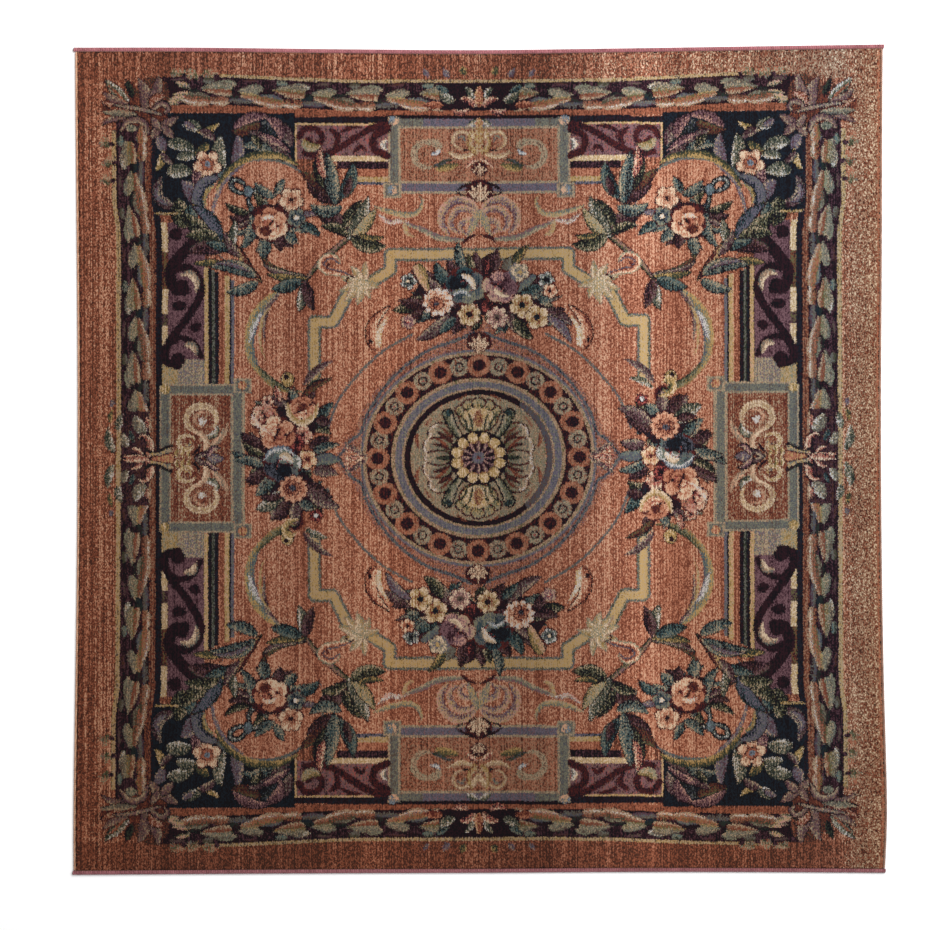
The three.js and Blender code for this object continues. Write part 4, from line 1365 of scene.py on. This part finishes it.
# The bar of warp ends inside the wraps, cut into short lengths so that it bends.
def coreBar(spec, long):
    deselectAll()
    bpy.ops.mesh.primitive_cylinder_add(vertices=10, radius=0.5, depth=1, location=(0.5, 0, 0),
                                        rotation=(0, math.radians(90), 0))
    bar = bpy.context.object
    bpy.ops.object.transform_apply(location=True, rotation=True, scale=True)
    bpy.ops.object.mode_set(mode="EDIT")
    bpy.ops.mesh.select_all(action="SELECT")
    bpy.ops.transform.resize(value=(long, spec["wide"] - spec["barIn"][0], spec["high"] - spec["barIn"][1]),
                             center_override=(0, 0, 0))
    bpy.ops.mesh.select_all(action="DESELECT")
    bpy.ops.object.mode_set(mode="OBJECT")
    for edge in bar.data.edges:
        a, b = (bar.data.vertices[k].co for k in edge.vertices)
        edge.select = abs(a.x - b.x) > long / 2
    bpy.ops.object.mode_set(mode="EDIT")
    bpy.ops.mesh.select_mode(type="EDGE")
    bpy.ops.mesh.subdivide(number_cuts=spec["bends"])
    bpy.ops.object.mode_set(mode="OBJECT")
    return bar


# An edge piece: wraps and bar set out in a row, then bent along the rug's edge.
def wrappedEdge(name, spec, places):
    line = np.array(places)
    long = float(np.hypot(*np.diff(line[:, :2], axis=0).T).sum())
    count = round((long - spec["yarnWide"]) / spec["pitch"]) + 1
    wrap = yarnWrap(spec)
    row = wrap.modifiers.new("row", "ARRAY")
    row.count = count
    row.use_relative_offset = False
    row.use_constant_offset = True
    row.constant_offset_displace = ((long - spec["yarnWide"]) / (count - 1), 0, 0)
    bpy.ops.object.modifier_apply(modifier="row")
    bpy.ops.object.mode_set(mode="EDIT")
    bpy.ops.mesh.select_all(action="SELECT")
    bpy.ops.transform.translate(value=(spec["yarnWide"] / 2, 0, 0))
    bpy.ops.object.mode_set(mode="OBJECT")
    bar = coreBar(spec, long - spec["yarnWide"] * 0.6)
    bpy.ops.object.mode_set(mode="EDIT")
    bpy.ops.mesh.select_all(action="SELECT")
    bpy.ops.transform.translate(value=(spec["yarnWide"] * 0.3, 0, 0))
    bpy.ops.object.mode_set(mode="OBJECT")
    deselectAll()
    bar.select_set(True)
    wrap.select_set(True)
    bpy.context.view_layer.objects.active = wrap
    bpy.ops.object.join()
    wrap.name = wrap.data.name = name
    path = bpy.data.curves.new("path", "CURVE")
    path.dimensions = "3D"
    spline = path.splines.new("POLY")
    spline.points.add(len(places) - 1)
    for point, place in zip(spline.points, places):
        point.co = (*place, 1)
    guide = bpy.data.objects.new("guide", path)
    scene.collection.objects.link(guide)
    bend = wrap.modifiers.new("bend", "CURVE")
    bend.object = guide
    bend.deform_axis = "POS_X"
    bpy.ops.object.modifier_apply(modifier="bend")
    bpy.data.objects.remove(guide)
    return wrap


# The middle lines that the bindings and the cords are bent along.
def endPlaces(end):
    v = 1 if end == "top" else 0
    y = [float(onCloth(u, v, binding["wide"] / 2, binding["wide"] / 2)[1]) for u in (0, 1)]
    left, right = float(sideAt["left"](y[0])), float(sideAt["right"](y[1]))
    inward = -1 if end == "top" else 1
    xs = np.linspace(left - binding["overhang"][end][0], right + binding["overhang"][end][1], 65)
    return [(float(x), float(endAt[end](x)) + inward * binding["wide"] / 2, binding["high"] / 2) for x in xs]


def sidePlaces(side):
    u = 1 if side == "right" else 0
    inward = -1 if side == "right" else 1
    bottom = float(onCloth(u, 0, 0, binding["wide"])[1]) + cord["gap"]
    top = float(onCloth(u, 1, 0, binding["wide"])[1]) - cord["gap"]
    return [(float(sideAt[side](y)) + inward * cord["wide"] / 2, float(y), cord["high"] / 2)
            for y in np.linspace(bottom, top, 65)]


topBinding = wrappedEdge("rose_binding_top", binding, endPlaces("top"))
bottomBinding = wrappedEdge("rose_binding_bottom", binding, endPlaces("bottom"))
leftCord = wrappedEdge("overcast_left", cord, sidePlaces("left"))
rightCord = wrappedEdge("overcast_right", cord, sidePlaces("right"))
print("edges wrapped,", len(topBinding.data.polygons), "and", len(leftCord.data.polygons), "faces")


class Value:
    # Shader maths: a socket that takes + - * / and the like.
    def __init__(self, shader, socket):
        self.shader, self.socket = shader, socket

    def maths(self, operation, *others):
        return self.shader.node("ShaderNodeMath", {"operation": operation}, [self, *others])

    def __add__(self, other):
        return self.maths("ADD", other)

    def __sub__(self, other):
        return self.maths("SUBTRACT", other)

    def __mul__(self, other):
        return self.maths("MULTIPLY", other)

    def __rsub__(self, other):
        return self.shader.node("ShaderNodeMath", {"operation": "SUBTRACT"}, [other, self])

    def part(self, name):
        return Value(self.shader, self.socket.node.outputs[name])


class Shader:
    # A new material with a Principled shader, and one method for every other node.
    def __init__(self, name, **fixed):
        self.material = bpy.data.materials.new(name)
        self.material.use_nodes = True
        self.tree = self.material.node_tree
        self.surface = self.tree.nodes["Principled BSDF"]
        for socket, value in fixed.items():
            self.surface.inputs[socket].default_value = value

    # Stops are a colour ramp's places and colours. Inputs go by number, or by name if they are a dict.
    def node(self, kind, settings=None, inputs=(), output=0):
        node = self.tree.nodes.new(kind)
        for name, value in (settings or {}).items():
            if name == "stops":
                ramp = node.color_ramp
                while len(ramp.elements) < len(value):
                    ramp.elements.new(0.999)
                for element, (place, colour) in zip(ramp.elements, value):
                    element.position, element.color = place, colour
            elif name == "interpolation" and kind == "ShaderNodeValToRGB":
                node.color_ramp.interpolation = value
            else:
                setattr(node, name, value)
        pairs = inputs.items() if isinstance(inputs, dict) else enumerate(inputs)
        for name, value in pairs:
            if isinstance(value, Value):
                self.tree.links.new(value.socket, node.inputs[name])
            else:
                node.inputs[name].default_value = value
        return Value(self, node.outputs[output])

    def coordinates(self, scale=(1, 1, 1), turn=(0, 0, 0)):
        place = self.node("ShaderNodeTexCoord", output="Object")
        return self.node("ShaderNodeMapping", {}, {"Vector": place, "Rotation": turn, "Scale": scale})

    def noise(self, scale, detail=2.0, rough=0.5, stretch=(1, 1, 1)):
        return self.node("ShaderNodeTexNoise", {}, {"Vector": self.coordinates(stretch), "Scale": scale,
                                                    "Detail": detail, "Roughness": rough}, "Fac")

    def multiplied(self, first, second):
        return self.node("ShaderNodeMix", {"data_type": "RGBA", "blend_type": "MULTIPLY"},
                         {0: 1.0, 6: first, 7: second}, 2)

    def bumped(self, height, strength, distance):
        self.feed("Normal", self.node("ShaderNodeBump", {}, {"Height": height, "Strength": strength,
                                                             "Distance": distance}, "Normal"))

    def feed(self, socket, value):
        self.tree.links.new(value.socket, self.surface.inputs[socket])


# A colour from 0 to 255 as Blender wants it.
def linear(colour):
    return tuple(c / 12.92 if c <= 0.04045 else ((c + 0.055) / 1.055) ** 2.4
                 for c in (part / 255 for part in colour)) + (1.0,)


pileFinish = {
    "rough": 0.95, "knotDepth": 0.0006, "bump": 0.5,
    "dye": (0.692, 0.652, 0.632), "streak": 0.12, "fleck": 0.12,
    "paintedLightToRight": 0.16, "paintedLightToTop": 0.32,  # painted light: how much lighter the pile is made towards the right and the top
}


# Light and dark bands that lie along the warp, partly abrash of the dye lots and partly painted light, and how cool
# each looks; down the rug the tones are painted light, a little dimmer and warmer towards the bottom.
bandsAndPaintedLight = {
    "most": 1.6,  # a ramp holds no more than 1, so its tones are kept as shares of this
    "paintedShadeLowLeft": 0.12,  # painted shade: how much darker the lower left corner is made
    "across": {
        "columns": ("at", "tone", "cool"),
        "rows": (
            (80, 1.02, 0.0), (125, 0.87, 0.0), (165, 0.87, 0.05), (200, 0.99, 0.06), (290, 0.91, 0.06),
            (390, 1.04, 0.02), (450, 0.96, 0.06), (522, 0.76, 0.06), (590, 1.02, 0.08), (642, 1.42, 0.08),
            (690, 1.03, 0.05), (745, 0.95, 0.06), (835, 1.02, 0.16), (879, 0.87, 0.0),
        ),
    },
    "down": {
        "columns": ("at", "tone", "cool"),
        "rows": ((60, 1.05, 0.03), (450, 1.04, 0.0), (840, 1.03, -0.05)),
    },
}


def pileMaterial():
    shader = Shader("knotted_pile", **{"Roughness": pileFinish["rough"], "Specular IOR Level": 0.1})
    place = shader.node("ShaderNodeUVMap", {"uv_map": "OFBake"})
    split = shader.node("ShaderNodeSeparateXYZ", {}, [place])
    columns, rows = cloth["faces"]
    across, along = split.part("X") * columns, (1 - split.part("Y")) * rows
    column, row = across.maths("FRACT") * 4, along.maths("FRACT") * 4
    yarn = None
    for k in range(4):
        knots = shader.node("ShaderNodeAttribute", {"attribute_name": f"knots{k}"})
        parts = shader.node("ShaderNodeSeparateColor", {}, [knots])
        picked = parts.part("Red") * column.maths("LESS_THAN", 1.0)
        picked = picked + parts.part("Green") * column.maths("COMPARE", 1.5, 0.5)
        picked = picked + parts.part("Blue") * column.maths("COMPARE", 2.5, 0.5)
        picked = picked + knots.part("Alpha") * column.maths("GREATER_THAN", 3.0)
        chosen = picked * row.maths("COMPARE", k + 0.5, 0.5)
        yarn = chosen if yarn is None else yarn + chosen
    stops = [(number / len(yarns), linear(colour)) for number, colour in enumerate(yarns.values())]
    dyed = shader.node("ShaderNodeValToRGB", {"interpolation": "CONSTANT", "stops": stops}, [yarn])
    # dye lots run in streaks along the warp, and single tufts differ a little
    streak = shader.noise(1.0, 3.0, 0.6, (150, 2.2, 1))
    fleck = shader.noise(420.0, 1.0, 0.5)
    shade = (streak - 0.5) * (2 * pileFinish["streak"]) + (fleck - 0.5) * (2 * pileFinish["fleck"]) + 1.0
    # painted light: the pile is made lighter towards the right and the top, where more light falls
    shade = shade * ((split.part("X") - 0.5) * pileFinish["paintedLightToRight"]
                     + (split.part("Y") - 0.5) * pileFinish["paintedLightToTop"] + 1.0)
    # painted shade: darker towards the lower left corner, where less light falls
    shade = shade * (1 - (1 - split.part("X")) * (1 - split.part("Y")) * bandsAndPaintedLight["paintedShadeLowLeft"])
    # partly painted light across the rug, and painted light down it
    for part, share, low, high in (("across", split.part("X"), face["left"], face["right"]),
                                   ("down", 1 - split.part("Y"), face["top"], face["bottom"])):
        tones = [((row["at"] - low) / (high - low),
                  (*(row["tone"] * (1 + side * row["cool"]) / bandsAndPaintedLight["most"] for side in (-1, 0, 1)), 1))
                 for row in rowsOf(bandsAndPaintedLight[part])]
        dyed = shader.multiplied(dyed, shader.node("ShaderNodeValToRGB", {"stops": tones}, [share]))
        shade = shade * bandsAndPaintedLight["most"]
    red, green, blue = pileFinish["dye"]
    grey = shader.node("ShaderNodeCombineColor", {}, [shade * red, shade * green, shade * blue])
    shader.feed("Base Color", shader.multiplied(dyed, grey))
    # tufts stand in ribs along the warp, with a furrow between rows
    ribs = 1 - (column.maths("FRACT") * 2 - 1).maths("ABSOLUTE").maths("POWER", 3.0)
    furrows = 1 - (row.maths("FRACT") * 2 - 1).maths("ABSOLUTE").maths("POWER", 4.0) * 0.6
    shader.bumped(ribs * furrows * 0.6 + fleck * 0.7, pileFinish["bump"], pileFinish["knotDepth"])
    return shader.material


yarnFinish = {
    "roseDark": (96, 44, 48), "rose": (164, 98, 103), "roseLight": (190, 122, 128),
    "leftDark": (140, 92, 68), "left": (214, 156, 122), "leftLight": (240, 200, 166),
    "rightDark": (84, 54, 42), "right": (168, 122, 100), "rightLight": (206, 168, 146),
    # painted light: how much lighter the yarn is made towards the top of the rug
    "paintedLightToTop": 0.16,
    "ply": 900.0, "depth": 0.00035,
}


def yarnMaterial(name, yarn, lean):
    shader = Shader(name, **{"Roughness": 0.8, "Specular IOR Level": 0.35,
                             "Sheen Weight": 0.1, "Sheen Roughness": 0.5})
    ply = shader.node("ShaderNodeTexWave", {"bands_direction": "DIAGONAL"},
                      {"Vector": shader.coordinates(turn=(0, 0, lean)), "Scale": yarnFinish["ply"] / 6.28,
                       "Distortion": 1.5, "Detail": 1.0, "Detail Scale": 2.0}, "Fac")
    patch = shader.noise(60.0, 3.0, 0.6)
    stops = [(0.25, linear(yarnFinish[yarn + "Dark"])), (0.55, linear(yarnFinish[yarn])),
             (0.8, linear(yarnFinish[yarn + "Light"]))]
    tone = shader.node("ShaderNodeValToRGB", {"stops": stops}, [patch * 0.55 + ply * 0.35 + 0.08])
    # painted light: the yarn is made lighter towards the top of the rug, where more light falls
    split = shader.node("ShaderNodeSeparateXYZ", {}, [shader.coordinates()])
    height = split.part("Y") * yarnFinish["paintedLightToTop"] + (1 - yarnFinish["paintedLightToTop"])
    shader.feed("Base Color", shader.multiplied(tone, height))
    shader.bumped(ply, 0.6, yarnFinish["depth"])
    return shader.material


def backMaterial():
    # a plain weave of jute and cotton on the underside
    shader = Shader("woven_backing", **{"Roughness": 0.9, "Specular IOR Level": 0.3})
    warp = shader.node("ShaderNodeTexWave", {"bands_direction": "X"},
                       {"Vector": shader.coordinates(), "Scale": 110.0, "Distortion": 0.6, "Detail": 1.0}, "Fac")
    weft = shader.node("ShaderNodeTexWave", {"bands_direction": "Y"},
                       {"Vector": shader.coordinates(), "Scale": 90.0, "Distortion": 0.8, "Detail": 1.0}, "Fac")
    patch = shader.noise(14.0, 4.0, 0.6)
    stops = [(0.2, linear((92, 74, 58))), (0.5, linear((150, 124, 96))), (0.85, linear((188, 164, 132)))]
    tone = shader.node("ShaderNodeValToRGB", {"stops": stops}, [warp * weft * 0.6 + patch * 0.4])
    shader.feed("Base Color", tone)
    shader.bumped(warp * 0.5 + weft * 0.5, 0.7, 0.0005)
    return shader.material


roseYarn = yarnMaterial("rose_yarn", "rose", 0.6)
leftYarn = yarnMaterial("left_cord_yarn", "left", 0.9)
rightYarn = yarnMaterial("right_cord_yarn", "right", 0.9)
finishes = {
    "columns": ("piece", "material", "node", "slot"),
    "rows": (
        (pileLayer, pileMaterial(), "pile_cloth", "pile"), (wovenBack, backMaterial(), "pile_cloth", "pile"),
        (topBinding, roseYarn, "end_binding_top", "rose_binding"),
        (bottomBinding, roseYarn, "end_binding_bottom", "rose_binding"),
        (leftCord, leftYarn, "side_cord_left", "side_cord"), (rightCord, rightYarn, "side_cord_right", "side_cord"),
    ),
}
for made in rowsOf(finishes):
    piece = made["piece"]
    piece.data.materials.clear()
    piece.data.materials.append(made["material"])
    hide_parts(made["node"])
    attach(piece, "root")
print("finished and declared")

# Floor, light and camera
studio = {
    "floor": (0.93, 0.93, 0.93, 1), "sky": 0.55,
    "lampPower": 330, "lampSize": 3.6, "lampPlace": (1.8, 2.2, 4.6),
    "cameraHeight": 6.0, "sensor": 36,
}
deselectAll()
bpy.ops.mesh.primitive_plane_add(size=30, location=(0, 0, -0.0002))
floor = bpy.context.object
floor.name = "floor"
floor.data.materials.append(Shader("floor_paint", **{"Base Color": studio["floor"], "Roughness": 0.9}).material)

world = bpy.data.worlds.new("studio")
world.use_nodes = True
world.node_tree.nodes["Background"].inputs["Color"].default_value = (1, 1, 1, 1)
world.node_tree.nodes["Background"].inputs["Strength"].default_value = studio["sky"]
scene.world = world
scene.view_settings.view_transform = "Standard"

lamp = bpy.data.lights.new("soft_box", "AREA")
lamp.energy, lamp.size = studio["lampPower"], studio["lampSize"]
softBox = bpy.data.objects.new("soft_box", lamp)
scene.collection.objects.link(softBox)
softBox.location = studio["lampPlace"]
softBox.rotation_euler = (-math.atan2(studio["lampPlace"][1], studio["lampPlace"][2]),
                          math.atan2(studio["lampPlace"][0], studio["lampPlace"][2]), 0)

cameraData = bpy.data.cameras.new("camera_above")
camera = bpy.data.objects.new("camera_above", cameraData)
scene.collection.objects.link(camera)
camera.location = ((photo["wide"] / 2 - photo["originX"]) * pixel, (photo["originY"] - photo["high"] / 2) * pixel,
                   studio["cameraHeight"])
cameraData.sensor_width = studio["sensor"]
cameraData.sensor_fit = "HORIZONTAL"
cameraData.lens = studio["sensor"] * (studio["cameraHeight"] - cloth["height"]) / (photo["wide"] * pixel)
scene.camera = camera

print("scene ready")
